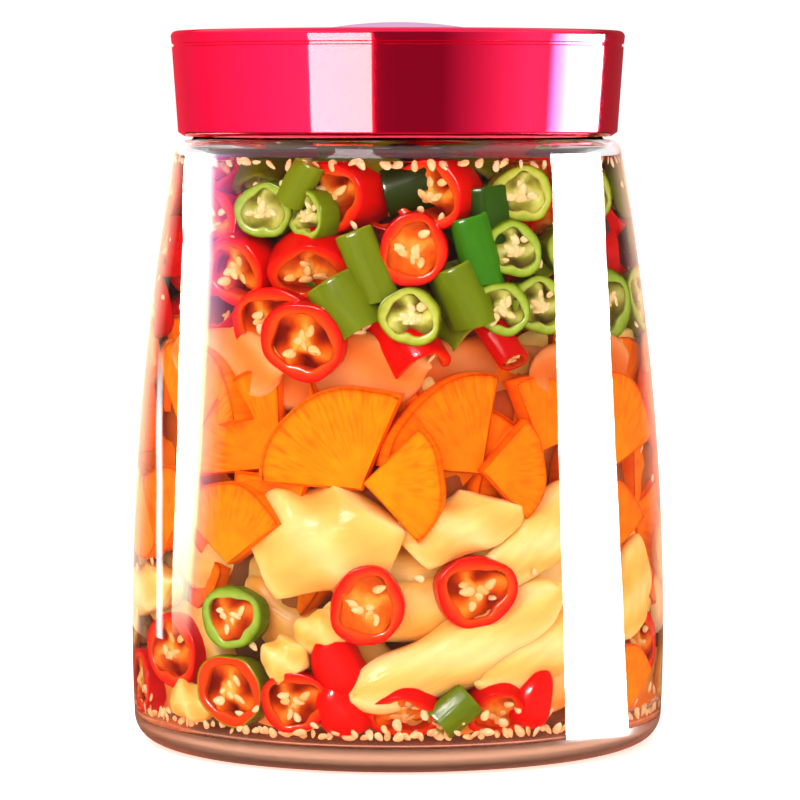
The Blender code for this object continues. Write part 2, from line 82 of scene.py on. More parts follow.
WHITE: Colour = (1.0, 1.0, 1.0)
BLACK: Colour = (0.0, 0.0, 0.0)
PLAIN: Stops = ((0.0, WHITE), (1.0, WHITE))


def grey(value: float) -> Colour:
    """Return a grey of one value."""
    return value, value, value


def from_screen(red: int, green: int, blue: int) -> Colour:
    """Return a screen colour, 0 to 255 a channel, as linear light.

    Args:
        red: the red channel.
        green: the green channel.
        blue: the blue channel.

    Returns:
        The three channels as linear values.
    """
    channels = []
    for value in (red, green, blue):
        share = value / 255.0
        channels.append(share / 12.92 if share <= 0.04045 else ((share + 0.055) / 1.055) ** 2.4)
    return channels[0], channels[1], channels[2]


def screen_stops(*stops: tuple[float, int, int, int]) -> Stops:
    """Return ramp stops from positions that each have a screen colour behind them."""
    return tuple((position, from_screen(*channels)) for position, *channels in stops)


def spread(start: float, end: float, count: int) -> list[float]:
    """Return evenly spaced values.

    Args:
        start: the first value.
        end: the last value.
        count: the number of steps between them.

    Returns:
        count + 1 values, both ends included.
    """
    return [start + (end - start) * index / count for index in range(count + 1)]


def angles(count: int) -> list[float]:
    """Return even angles all the way round, from 0."""
    return [math.tau * index / count for index in range(count)]


def arc(centre: tuple[float, float], radius: float, start: float, end: float, count: int) -> Profile:
    """Return points along an arc.

    Args:
        centre: the arc's centre.
        radius: its radius.
        start: the first angle, in degrees from +X.
        end: the last angle.
        count: the number of steps.

    Returns:
        The points, both ends included.
    """
    return [
        (centre[0] + radius * math.cos(angle), centre[1] + radius * math.sin(angle))
        for angle in spread(math.radians(start), math.radians(end), count)]


def ease(value: float) -> float:
    """Return a value held to 0 to 1 and eased at both ends."""
    value = min(1.0, max(0.0, value))
    return value * value * (3.0 - 2.0 * value)


class Graph:
    """A node tree with short calls to add and join nodes."""

    def __init__(self, tree: Tree) -> None:
        """Keep the tree that nodes are added to."""
        self.tree = tree

    def feed(self, socket: Socket, value: object) -> None:
        """Link an output to an input, or set the input to a plain value.

        Args:
            socket: the input.
            value: the output, the number, the vector, the colour or the data.
        """
        if isinstance(value, Socket):
            self.tree.links.new(value, socket)
        elif socket.type == 'RGBA':
            socket.default_value = (*value, 1.0)
        else:
            socket.default_value = value

    def add(self, kind: str, feeds: dict[str | int, object] | None = None, **settings: object) -> Node:
        """Add a node.

        Args:
            kind: the node's type name.
            feeds: outputs or plain values for its inputs, by name or number.
            settings: its properties, by name.

        Returns:
            The new node.
        """
        node = self.tree.nodes.new(kind)
        for name, value in settings.items():
            setattr(node, name, value)
        for name, value in (feeds or {}).items():
            self.feed(node.inputs[name], value)
        return node

    def dress(self, shader: Node, **values: object) -> None:
        """Feed a shader's inputs, with _ for a space in a name."""
        for name, value in values.items():
            self.feed(shader.inputs[name.replace("_", " ")], value)

    def end(self, output: Socket, socket: str = "Surface") -> None:
        """Join an output to the material's own output."""
        self.feed(self.tree.nodes["Material Output"].inputs[socket], output)

    def math(self, operation: str, *values: object) -> Socket:
        """Add a Math node.

        Args:
            operation: what it works out.
            values: numbers or outputs, one for each input.

        Returns:
            Its output.
        """
        return self.add("ShaderNodeMath", dict(enumerate(values)), operation=operation).outputs[0]

    def noise(self, vector: Socket, scale: float, detail: float = 2.0, roughness: float = 0.5) -> Socket:
        """Add a Noise Texture on a vector.

        Args:
            vector: where the noise is read.
            scale: its scale, in features a metre.
            detail: its octaves.
            roughness: how strong the finer ones are.

        Returns:
            Its value output.
        """
        feeds = {"Vector": vector, "Scale": scale, "Detail": detail, "Roughness": roughness}
        return self.add("ShaderNodeTexNoise", feeds).outputs[0]

    def ramp(self, value: Socket, stops: Stops) -> Socket:
        """Add a Color Ramp.

        Args:
            value: what drives it.
            stops: two or more positions with their colours, in order.

        Returns:
            Its colour output.
        """
        node = self.add("ShaderNodeValToRGB", {0: value})
        for _ in stops[2:]:
            node.color_ramp.elements.new(0.5)
        for element, (position, colour) in zip(node.color_ramp.elements, stops):
            element.position = position
            element.color = (*colour, 1.0)
        return node.outputs[0]

    def blend(self, factor: object, first: object, second: object, mode: str = 'MIX') -> Socket:
        """Mix two colours.

        Args:
            factor: a number or an output.
            first: a colour or an output.
            second: a colour or an output.
            mode: the blend mode.

        Returns:
            The mixed colour.
        """
        feeds = {0: factor, 6: first, 7: second}
        return self.add("ShaderNodeMix", feeds, data_type='RGBA', blend_type=mode).outputs[2]

    def multiply(self, first: object, second: object) -> Socket:
        """Return one colour times another."""
        return self.blend(1.0, first, second, 'MULTIPLY')

    def place(self) -> Socket:
        """Return the object's own coordinates."""
        return self.add("ShaderNodeTexCoord").outputs["Object"]

    def split(self, vector: Socket) -> list[Socket]:
        """Return the three parts of a vector."""
        return list(self.add("ShaderNodeSeparateXYZ", {0: vector}).outputs)

    def attribute(self, name: str, output: str = "Fac") -> Socket:
        """Return a mesh attribute as an output."""
        return self.add("ShaderNodeAttribute", attribute_name=name).outputs[output]

    def stored(self, name: str, kind: str) -> Socket:
        """Return a point's own value, in Geometry Nodes."""
        node = self.add("GeometryNodeInputNamedAttribute", {"Name": name}, data_type=kind)
        return node.outputs["Attribute"]

    def bump(self, height: Socket, strength: float, distance: float, shader: Node) -> None:
        """Drive a shader's normal from a height.

        Args:
            height: the height output.
            strength: how much of the bump shows.
            distance: its depth in metres.
            shader: the shader whose Normal it drives.
        """
        feeds = {"Strength": strength, "Distance": distance, "Height": height}
        self.feed(shader.inputs["Normal"], self.add("ShaderNodeBump", feeds).outputs[0])

    def let_lamps_through(self, shader: Node, tint: Colour) -> None:
        """Make a clear shader pass lamp light and diffuse light straight through.

        Args:
            shader: the clear shader.
            tint: the share of the light that passes.
        """
        rays = self.add("ShaderNodeLightPath").outputs
        either = self.math('MAXIMUM', rays["Is Shadow Ray"], rays["Is Diffuse Ray"])
        clear = self.add("ShaderNodeBsdfTransparent", {"Color": tint})
        feeds = {0: either, 1: shader.outputs[0], 2: clear.outputs[0]}
        self.end(self.add("ShaderNodeMixShader", feeds).outputs[0])


class Finish:
    """A finish, which makes one material."""

    name: str

    def paint(self, graph: Graph, shader: Node) -> None:
        """Set the shader, which each finish does in its own way.

        Args:
            graph: the material's graph.
            shader: its Principled shader.
        """
        raise NotImplementedError

    def build(self) -> Material:
        """Return the material."""
        material = bpy.data.materials.new(self.name)
        material.use_nodes = True
        self.paint(Graph(material.node_tree), material.node_tree.nodes["Principled BSDF"])
        return material


@dataclass(frozen=True)
class GlassFinish(Finish):
    """Clear polished glass, with a faint ripple from the mould."""

    name: str = "clear polished glass"
    bending: float = 1.5
    tint: Colour = (1.0, 0.985, 0.985)
    ripple: float = 0.00006
    roughness: float = 0.0

    def paint(self, graph: Graph, shader: Node) -> None:
        """Set the glass and its ripple.

        Args:
            graph: the material\'s graph.
            shader: its Principled shader.
        """
        graph.dress(
            shader, Base_Color=self.tint, Roughness=self.roughness, IOR=self.bending,
            Transmission_Weight=1.0)
        graph.bump(graph.noise(graph.place(), 55.0, 1.0), 0.25, self.ripple, shader)
        graph.let_lamps_through(shader, self.tint)


@dataclass(frozen=True)
class BrineFinish(Finish):
    """Clear brine that takes up some blue and green on the way through."""

    name: str = "clear brine"
    bending: float = 1.34
    stained: Colour = (1.0, 0.80, 0.60)
    density: float = 26.0

    def paint(self, graph: Graph, shader: Node) -> None:
        """Set the brine and what it takes up.

        Args:
            graph: the material\'s graph.
            shader: its Principled shader.
        """
        graph.dress(
            shader, Base_Color=WHITE, Roughness=0.0, IOR=self.bending, Transmission_Weight=1.0)
        graph.let_lamps_through(shader, WHITE)
        feeds = {"Color": self.stained, "Density": self.density}
        graph.end(graph.add("ShaderNodeVolumeAbsorption", feeds).outputs[0], "Volume")


@dataclass(frozen=True)
class LidFinish(Finish):
    """Glossy red lacquered plastic with a metallic depth."""

    name: str = "red lid gloss"
    red: Colour = (0.90, 0.004, 0.066)
    metallic: float = 0.92
    roughness: float = 0.065

    def paint(self, graph: Graph, shader: Node) -> None:
        """Set the gloss, with faint clouds, grain and a ripple.

        Args:
            graph: the material\'s graph.
            shader: its Principled shader.
        """
        place = graph.place()
        darker = tuple(channel * 0.96 for channel in self.red)
        cloud = graph.ramp(graph.noise(place, 40.0, 3.0), ((0.3, darker), (0.7, self.red)))
        grain = graph.noise(place, 900.0, 2.0)
        rough = graph.math('MULTIPLY_ADD', grain, 0.04, self.roughness - 0.02)
        graph.dress(
            shader, Base_Color=cloud, Metallic=self.metallic, Roughness=rough, IOR=1.5,
            Coat_Weight=0.3, Coat_Roughness=0.02, Coat_IOR=1.5)
        graph.bump(graph.noise(place, 60.0, 1.0), 0.06, 0.00002, shader)


@dataclass(frozen=True)
class ButtonFinish(Finish):
    """Soft satin silicone in a pale pink, with a painted lilac sheen where it is seen at a slant."""

    name: str = "pale silicone"
    pink: Colour = from_screen(250, 176, 210)
    lilac: Colour = from_screen(212, 142, 196)

    def paint(self, graph: Graph, shader: Node) -> None:
        """Set the satin, its pink and the painted lilac sheen where it is seen at a slant.

        Args:
            graph: the material\'s graph.
            shader: its Principled shader.
        """
        # The colour turns lilac as the surface is seen at a slant: a painted sheen.
        rim = graph.add("ShaderNodeLayerWeight", {"Blend": 0.35})
        colour = graph.blend(rim.outputs["Facing"], self.pink, self.lilac)
        place = graph.place()
        cloud = graph.ramp(graph.noise(place, 120.0, 3.0), ((0.2, grey(0.93)), (0.8, WHITE)))
        graph.dress(
            shader, Base_Color=graph.multiply(colour, cloud), Roughness=0.32, IOR=1.43, Sheen_Weight=0.2)
        graph.bump(graph.noise(place, 1500.0, 2.0), 0.15, 0.00003, shader)


@dataclass(frozen=True)
class VegetableFinish(Finish):
    """Wet flesh whose colour follows the part of the piece, with speckles and fibres.

    The parts attribute runs from 0 on the skin, over the cut flesh, to 1 in
    the heart of the piece. The shade attribute is one value a piece.
    """

    name: str
    stops: Stops
    # Tones by the shade: at random for most pieces; the low end is painted shade for some set ones.
    tones: Stops = ((0.0, grey(0.72)), (1.0, WHITE))
    wander: float = 0.24
    speckle: float = 0.25
    speckle_scale: float = 900.0
    stretch: tuple[float, float, float] = (1.0, 1.0, 1.0)
    bump: float = 0.0002
    roughness: float = 0.35
    subsurface: float = 0.0
    shine: float = 0.05

    def paint(self, graph: Graph, shader: Node) -> None:
        """Set the flesh, its speckles and its wet shine.

        Args:
            graph: the material\'s graph.
            shader: its Principled shader.
        """
        if self.subsurface:
            graph.dress(
                shader, Subsurface_Weight=self.subsurface, Subsurface_Scale=0.004,
                Subsurface_Radius=(1.0, 0.7, 0.35))
        feeds = {"Vector": graph.attribute("local", "Vector"), "Scale": self.stretch}
        stretched = graph.add("ShaderNodeMapping", feeds).outputs[0]
        uneven = graph.noise(stretched, self.speckle_scale * 0.35, 3.0)
        wander = graph.math('MULTIPLY_ADD', uneven, self.wander, -self.wander / 2)
        colour = graph.ramp(graph.math('ADD', graph.attribute("parts"), wander), self.stops)
        colour = graph.multiply(colour, graph.ramp(graph.attribute("shade"), self.tones))
        speck = graph.noise(stretched, self.speckle_scale, 4.0, 0.6)
        grains = graph.ramp(speck, ((0.35, grey(1.0 - self.speckle)), (0.62, WHITE)))
        graph.dress(
            shader, Base_Color=graph.multiply(colour, grains), IOR=1.4, Specular_IOR_Level=self.shine,
            Roughness=graph.math('MULTIPLY_ADD', speck, 0.2, self.roughness - 0.1))
        graph.bump(speck, 0.5, self.bump, shader)


@dataclass(frozen=True)
class CarrotFinish(Finish):
    """Wet carrot cut across: a paler core, fine rays and a darker rim."""

    name: str = "carrot"
    core: Colour = from_screen(255, 150, 8)
    flesh: Colour = from_screen(255, 141, 3)
    ray: Colour = from_screen(244, 98, 2)
    rim: Colour = from_screen(254, 124, 2)

    def paint(self, graph: Graph, shader: Node) -> None:
        """Set the face, with rays from the piece's own point, and its mottling.

        Args:
            graph: the material\'s graph.
            shader: its Principled shader.
        """
        local = graph.attribute("local", "Vector")
        shade = graph.attribute("shade")
        parts = graph.attribute("parts")
        across, _, up = graph.split(local)
        squares = [graph.math('MULTIPLY', side, side) for side in (across, up)]
        length = graph.math('SQRT', graph.math('ADD', *squares))
        polar = graph.add("ShaderNodeCombineXYZ", {
            "X": graph.math('MULTIPLY', graph.math('ARCTAN2', up, across), 26.0),
            "Y": graph.math('MULTIPLY', length, 190.0),
            "Z": graph.math('MULTIPLY', shade, 40.0)})
        rays = graph.noise(polar.outputs[0], 1.0, 3.0, 0.6)
        wander = graph.math('MULTIPLY_ADD', rays, 0.10, -0.05)
        face = graph.ramp(graph.math('ADD', parts, wander), (
            (0.36, self.core), (0.46, self.flesh), (0.90, self.flesh), (1.0, self.rim)))
        strength = graph.ramp(parts, ((0.34, grey(0.45)), (0.60, grey(0.7)), (0.95, grey(0.85))))
        drawn = graph.ramp(rays, ((0.46, BLACK), (0.66, WHITE)))
        colour = graph.blend(graph.math('MULTIPLY', strength, drawn), face, self.ray)
        mottle = graph.noise(local, 420.0, 4.0, 0.65)
        colour = graph.multiply(colour, graph.ramp(mottle, ((0.36, (0.98, 0.84, 0.5)), (0.60, WHITE))))
        tone = graph.ramp(shade, ((0.0, (0.98, 0.66, 0.50)), (0.8, WHITE)))
        graph.dress(
            shader, Base_Color=graph.multiply(colour, tone), IOR=1.4, Specular_IOR_Level=0.05,
            Roughness=0.35)
        graph.bump(rays, 0.4, 0.0002, shader)


@dataclass(frozen=True)
class CoreFinish(Finish):
    """The inside of the heap, in layers of its own pieces' colours, dimmed as painted shade."""

    name: str = "heap inside"
    height: float = 0.120
    # The layers are dimmed as painted shade inside the heap, darkest near the top.
    layers: Stops = screen_stops(
        (0.05, 150, 98, 44), (0.25, 158, 98, 36), (0.42, 214, 112, 30), (0.56, 235, 120, 40),
        (0.64, 225, 90, 40), (0.74, 120, 20, 18), (0.95, 70, 12, 20))

    def paint(self, graph: Graph, shader: Node) -> None:
        """Set the layers, which wander, and the painted shade between the pieces.

        Args:
            graph: the material\'s graph.
            shader: its Principled shader.
        """
        place = graph.place()
        wander = graph.math('MULTIPLY_ADD', graph.noise(place, 60.0, 2.0), 0.016, -0.008)
        height = graph.math('ADD', graph.split(place)[2], wander)
        layers = graph.ramp(graph.math('DIVIDE', height, self.height), self.layers)
        cells = graph.add("ShaderNodeTexVoronoi", {"Vector": place, "Scale": 95.0})
        depth = cells.outputs["Distance"]
        # Darker away from each cell's middle: painted shade between the pieces.
        tones = graph.ramp(depth, ((0.0, grey(1.1)), (0.7, (0.45, 0.42, 0.4))))
        graph.dress(
            shader, Base_Color=graph.multiply(layers, tones), Roughness=0.5, Specular_IOR_Level=0.2)
        graph.bump(depth, 0.6, 0.002, shader)


@dataclass(frozen=True)
class FloorFinish(Finish):
    """A plain near-white floor."""

    name: str = "pale floor"
    white: float = 0.90
    glow: float = 0.45

    def paint(self, graph: Graph, shader: Node) -> None:
        """Set the matt white, with faint clouds and a soft glow.

        Args:
            graph: the material\'s graph.
            shader: its Principled shader.
        """
        stops = ((0.3, grey(self.white * 0.985)), (0.7, grey(self.white)))
        graph.dress(
            shader, Base_Color=graph.ramp(graph.noise(graph.place(), 3.0), stops), Roughness=0.9,
            Specular_IOR_Level=0.0, Emission_Color=WHITE, Emission_Strength=self.glow)


@dataclass(frozen=True)
class CardFinish(Finish):
    """A card's glow, painted by shares of its width and height.

    Each stop is a share with a colour, and the glow is added to what is
    behind the card.
    """

    name: str
    light: float
    across: Stops = PLAIN
    upwards: Stops = PLAIN

    def paint(self, graph: Graph, shader: Node) -> None:
        """Set the glow in place of the shader.

        Args:
            graph: the material\'s graph.
            shader: its Principled shader.
        """
        graph.tree.nodes.remove(shader)
        sideways, rise, _ = graph.split(graph.attribute("place", "Vector"))
        painted = graph.multiply(graph.ramp(sideways, self.across), graph.ramp(rise, self.upwards))
        clear = graph.add("ShaderNodeBsdfTransparent")
        glow = graph.add("ShaderNodeEmission", {"Color": painted, "Strength": self.light})
        feeds = {0: clear.outputs[0], 1: glow.outputs[0]}
        graph.end(graph.add("ShaderNodeAddShader", feeds).outputs[0])


def mesh_object(name: str, vertices: Iterable[Iterable[float]], faces: Iterable[Iterable[int]],
                material: Material | None = None) -> Thing:
    """Make a smooth mesh object at the origin.

    Args:
        name: the object's name.
        vertices: its points.
        faces: its faces, by point number.
        material: its one material.

    Returns:
        The object, linked to the scene.
    """
    mesh = bpy.data.meshes.new(name)
    mesh.from_pydata([tuple(vertex) for vertex in vertices], [], [tuple(face) for face in faces])
    mesh.shade_smooth()
    thing = bpy.data.objects.new(name, mesh)
    bpy.context.scene.collection.objects.link(thing)
    if material:
        mesh.materials.append(material)
    return thing


def turned_object(name: str, profile: Profile, steps: int, material: Material, sharp: float,
                  others: Iterable[tuple[Material, range]] = ()) -> Thing:
    """Turn a profile about +Z into a closed smooth mesh.

    Args:
        name: the object's name.
        profile: points from the axis, out, down the outer side and back to the axis.
        steps: the number of steps in the turn.
        material: its material.
        sharp: edges that turn by more than this, in degrees, stay sharp.
        others: more materials, each with the numbers of its stretches of the profile.

    Returns:
        The object.
    """
    ring = len(profile) - 2
    vertices = [(0.0, 0.0, profile[0][1])]
    for angle in angles(steps):
        for radius, height in profile[1:-1]:
            vertices.append((radius * math.cos(angle), radius * math.sin(angle), height))
    vertices.append((0.0, 0.0, profile[-1][1]))
    last = len(vertices) - 1
    faces: Faces = []
    for step in range(steps):
        here = 1 + step * ring
        there = 1 + (step + 1) % steps * ring
        faces.append((0, here, there))
        for index in range(ring - 1):
            faces.append((here + index, here + index + 1, there + index + 1, there + index))
        faces.append((here + ring - 1, last, there + ring - 1))
    thing = mesh_object(name, vertices, faces, material)
    rows = np.tile(np.arange(ring + 1), steps)
    chosen = np.zeros(len(rows), np.int32)
    for number, (other, stretches) in enumerate(others, 1):
        thing.data.materials.append(other)
        chosen[np.isin(rows, np.array(stretches))] = number
    thing.data.polygons.foreach_set("material_index", chosen)
    thing.data.set_sharp_from_angle(angle=math.radians(sharp))
    return thing


def hand_in(piece: Thing, slot: str, *nodes: str) -> None:
    """Let a piece ride on the jar, and hide the nodes that it stands for.

    Args:
        piece: the finished piece.
        slot: the slot of its material; not used.
        nodes: the nodes that it replaces, if any.
    """
    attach(piece, BODY)
    if nodes:
        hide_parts(*nodes)
    LOG.info("%s: %d faces", piece.name, len(piece.data.polygons))


@dataclass
class JarGlass:
    """The glass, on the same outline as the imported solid, and the brine in it."""

    widest_radius: float = 54.1 * MM
    widest_height: float = 22.0 * MM
    shoulder_radius: float = 45.3 * MM
    shoulder_height: float = 118.7 * MM
    shoulder_round: float = 3.0 * MM
    heel_round: float = 5.5 * MM
    heel_draw_in: float = 0.4 * MM
    neck_radius: float = 41.4 * MM
    rim_height: float = 139.2 * MM
    rim_round: float = 1.3 * MM
    foot_inner_radius: float = 38.0 * MM
    punt_radius: float = 33.0 * MM
    punt_rise: float = 1.6 * MM
    wall: float = 2.8 * MM
    floor_height: float = 4.8 * MM
    floor_crown: float = 0.8 * MM
    floor_round: float = 5.0 * MM
    inner_shoulder_start: float = 115.5 * MM
    inner_shoulder_end: float = 121.5 * MM
    brine_level: float = 117.6 * MM
    brine_reach: float = 0.12 * MM
    brine_edge: tuple[float, float] = (1.6 * MM, 0.3 * MM)
    foot_height: float = 6.2 * MM
    foot_slope: float = 1.6 * MM
    neck_foot_round: float = 0.7 * MM
    steps: int = 160

    def outer_radius(self, height: float) -> float:
        """Return the outside radius of the body at a height.

        Args:
            height: the height in metres.

        Returns:
            The radius in metres.
        """
        if height < self.widest_height:
            part = (self.widest_height - height) / (self.widest_height - self.heel_round)
            return self.widest_radius - self.heel_draw_in * part ** 2
        part = (height - self.widest_height) / (self.shoulder_height - self.widest_height)
        return self.widest_radius - (self.widest_radius - self.shoulder_radius) * part ** 2

    def inner_radius(self, height: float) -> float:
        """Return the inside radius at a height, from floor to neck.

        Args:
            height: the height in metres.

        Returns:
            The radius in metres.
        """
        neck = self.neck_radius - self.wall
        if height >= self.inner_shoulder_end:
            return neck
        if height > self.inner_shoulder_start:
            start = self.outer_radius(self.inner_shoulder_start) - self.wall
            reach = self.inner_shoulder_end - self.inner_shoulder_start
            part = (height - self.inner_shoulder_start) / reach
            return neck + (start - neck) * math.sqrt(max(0.0, 1.0 - part ** 2))
        corner = self.floor_height + self.floor_round
        if height < corner:
            rise = min(self.floor_round, corner - height)
            flat = self.outer_radius(corner) - self.wall - self.floor_round
            return flat + math.sqrt(self.floor_round ** 2 - rise ** 2)
        return self.outer_radius(height) - self.wall

    def inside(self, grow: float, top: float) -> Profile:
        """Return the inner outline from the floor's middle up to a height.

        Args:
            grow: how far outside the inner face it lies.
            top: where it ends.

        Returns:
            Points from the axis outwards and up.
        """
        corner = self.floor_height + self.floor_round
        flat = self.inner_radius(corner) - self.floor_round
        points = [(0.0, self.floor_height + self.floor_crown - grow)]
        for share in spread(0.1, 1.0, 9)[:-1]:
            crown = self.floor_crown * (1.0 - share ** 2)
            points.append((flat * share, self.floor_height + crown - grow))
        points += arc((flat, corner), self.floor_round + grow, -90, 0, 10)
        for height in spread(corner, self.inner_shoulder_start, 36)[1:]:
            points.append((self.inner_radius(height) + grow, height))
        reach = self.inner_shoulder_end - self.inner_shoulder_start
        for angle in spread(0.0, 90.0, 10)[1:]:
            height = self.inner_shoulder_start + reach * math.sin(math.radians(angle))
            points.append((self.inner_radius(height) + grow, height))
        points.append((self.neck_radius - self.wall + grow, top))
        return points

    def outline(self) -> Profile:
        """Return the whole outline of the glass, from inside to underneath.

        Returns:
            Points from the axis over the rim and back to the axis.
        """
        profile = self.inside(0.0, self.rim_height - self.rim_round)
        neck_inner = self.neck_radius - self.wall
        rim = self.rim_height - self.rim_round
        profile += arc((neck_inner + self.rim_round, rim), self.rim_round, 180, 90, 6)[1:]
        profile += arc((self.neck_radius - self.rim_round, rim), self.rim_round, 90, 0, 6)
        foot = self.neck_foot_round
        shoulder_top = self.shoulder_height + self.shoulder_round
        profile += arc((self.neck_radius + foot, shoulder_top + foot), foot, 180, 270, 4)
        centre = (self.shoulder_radius - self.shoulder_round, self.shoulder_height)
        profile += arc(centre, self.shoulder_round, 88, 8, 12)
        for height in spread(self.shoulder_height - 0.6 * MM, self.heel_round, 60):
            profile.append((self.outer_radius(height), height))
        centre = (self.outer_radius(self.heel_round) - self.heel_round, self.heel_round)
        profile += arc(centre, self.heel_round, 0, -90, 14)[1:]
        profile += [
            (self.foot_inner_radius, 0.0),
            (self.foot_inner_radius - self.foot_slope, self.punt_rise * 0.35),
            (self.punt_radius, self.punt_rise),
            (0.0, self.punt_rise),
        ]
        return profile

    def build(self) -> Thing:
        """Make the glass and the brine.

        Returns:
            The glass.
        """
        outline = self.outline()
        inside = self.inside(0.0, self.rim_height)
        wet = sum(1 for _, height in inside if height < self.brine_level)
        foot = next(
            number for number in range(len(inside), len(outline))
            if outline[number][1] < self.foot_height)
        glass = turned_object(
            "glass_wall", outline, self.steps, GlassFinish().build(), 60.0, (
                (GlassFinish("clear glass against brine", 1.5 / 1.34).build(), range(wet)),
                # The foot's warm orange tint paints the warm glow that shows through the base.
                (GlassFinish("thick glass of the foot", 1.5, (0.98, 0.48, 0.30), 0.0001, 0.28).build(),
                 range(foot, len(outline)))))
        hand_in(glass, "glass", "jar_glass")
        profile = [
            point for point in self.inside(self.brine_reach, self.rim_height)
            if point[1] < self.brine_level]
        edge = self.inner_radius(self.brine_level)
        run, drop = self.brine_edge
        profile += [
            (edge + self.brine_reach, self.brine_level), (edge - run, self.brine_level - drop),
            (0.0, self.brine_level - drop)]
        profile.reverse()
        brine = turned_object(
            "brine", profile, self.steps, BrineFinish("brine against glass", 1.01).build(), 60.0,
            ((BrineFinish().build(), range(2)),))
        hand_in(brine, "glass")
        return glass


@dataclass
class Lid:
    """The lid: a plate with a seat for the dome, and a skirt that widens upwards."""

    bottom: float = 122.3 * MM
    top: float = 143.5 * MM
    lower_radius: float = 44.4 * MM
    upper_radius: float = 45.9 * MM
    corner_round: float = 1.2 * MM
    seat_round: float = 0.4 * MM
    chamfer_rise: float = 0.9 * MM
    chamfer_run: float = 1.3 * MM
    skirt_wall: float = 1.9 * MM
    plate_underside: float = 139.6 * MM
    groove_height: float = 140.6 * MM
    groove_half_width: float = 0.3 * MM
    groove_depth: float = 0.35 * MM
    edge_round: float = 0.1 * MM
    seat_radius: float = 18.3 * MM
    seat_floor: float = 142.3 * MM
    steps: int = 192

    def skirt(self, height: float) -> float:
        """Return the skirt's outer radius at a height."""
        slope = (self.upper_radius - self.lower_radius) / (self.top - self.bottom)
        return self.lower_radius + slope * (height - self.bottom)

    def build(self) -> Thing:
        """Make the lid.

        Returns:
            The lid.
        """
        band = self.groove_height + self.groove_half_width
        below = self.groove_height - self.groove_half_width
        chamfer = self.bottom + self.chamfer_rise
        soft = self.edge_round
        profile = [(0.0, self.seat_floor), (self.seat_radius - soft, self.seat_floor)]
        profile += [(self.seat_radius, self.seat_floor + soft)]
        rounding = self.seat_round
        profile += arc((self.seat_radius + rounding, self.top - rounding), rounding, 180, 90, 4)
        corner = (self.upper_radius - self.corner_round, self.top - self.corner_round)
        profile += arc(corner, self.corner_round, 90, 4, 10)
        profile += [
            (self.skirt(band + soft), band + soft),
            (self.skirt(band) - soft, band),
            (self.skirt(band) - self.groove_depth, band - 0.1 * MM),
            (self.skirt(below) - self.groove_depth, below + 0.1 * MM),
            (self.skirt(below) - soft, below),
            (self.skirt(below - soft), below - soft),
        ]
        for height in spread(below - 2.0 * soft, chamfer + 2.0 * soft, 12):
            profile.append((self.skirt(height), height))
        profile += [
            (self.skirt(chamfer), chamfer + soft),
            (self.skirt(chamfer) - soft, chamfer - soft),
            (self.skirt(self.bottom) - self.chamfer_run, self.bottom),
            (self.skirt(self.bottom) - self.skirt_wall, self.bottom + 0.2 * MM),
            (self.skirt(self.plate_underside) - self.skirt_wall, self.plate_underside),
            (0.0, self.plate_underside),
        ]
        lid = turned_object("red_lid", profile, self.steps, LidFinish().build(), 32.0)
        hand_in(lid, "lid_plastic", "lid")
        return lid


@dataclass
class LidButton:
    """The low soft dome in the lid's seat."""

    radius: float = 18.0 * MM
    bottom: float = 142.6 * MM
    edge_height: float = 143.4 * MM
    top: float = 145.3 * MM
    edge_round: float = 0.4 * MM
    steps: int = 128

    def build(self) -> None:
        """Make the dome."""
        rise = self.top - self.edge_height
        profile = []
        for radius in spread(0.0, self.radius - self.edge_round, 24):
            profile.append((radius, self.edge_height + rise * (1.0 - (radius / self.radius) ** 2)))
        centre = (self.radius - self.edge_round, self.edge_height - self.edge_round * 0.9)
        profile += arc(centre, self.edge_round, 70, 0, 5)
        profile += [(self.radius, self.bottom), (0.0, self.bottom)]
        dome = turned_object("soft_dome", profile, self.steps, ButtonFinish().build(), 50.0)
        hand_in(dome, "button_silicone", "lid_button")


@dataclass
class Shape:
    """One model piece at the origin, facing -Y, with what its material reads."""

    points: np.ndarray
    faces: Faces
    parts: np.ndarray


@dataclass
class Placing:
    """Where one copy goes: its middle, its turn, its size and its shade."""

    middle: Vector
    turn: Vector
    size: Vector
    variant: int
    shade: float


def grid_faces(rows: int, columns: int, closed_rows: bool = False) -> Faces:
    """Return the faces of a grid whose columns close into rings.

    Args:
        rows: the number of rings.
        columns: the points in each ring.
        closed_rows: True if the last ring joins the first.

    Returns:
        Faces by point number, ring after ring.
    """
    faces = []
    for row in range(rows if closed_rows else rows - 1):
        below = row * columns
        above = (row + 1) % rows * columns
        for column in range(columns):
            beside = (column + 1) % columns
            faces.append((below + column, below + beside, above + beside, above + column))
    return faces


def capped_faces(rows: int, columns: int) -> Faces:
    """Return the faces of a grid of rings with its first and last ring closed."""
    first = (rows - 1) * columns
    ends = [tuple(range(columns - 1, -1, -1)), tuple(range(first, first + columns))]
    return grid_faces(rows, columns) + ends


def turned_over(faces: Faces) -> Faces:
    """Return the faces with their other side outwards."""
    return [tuple(reversed(face)) for face in faces]


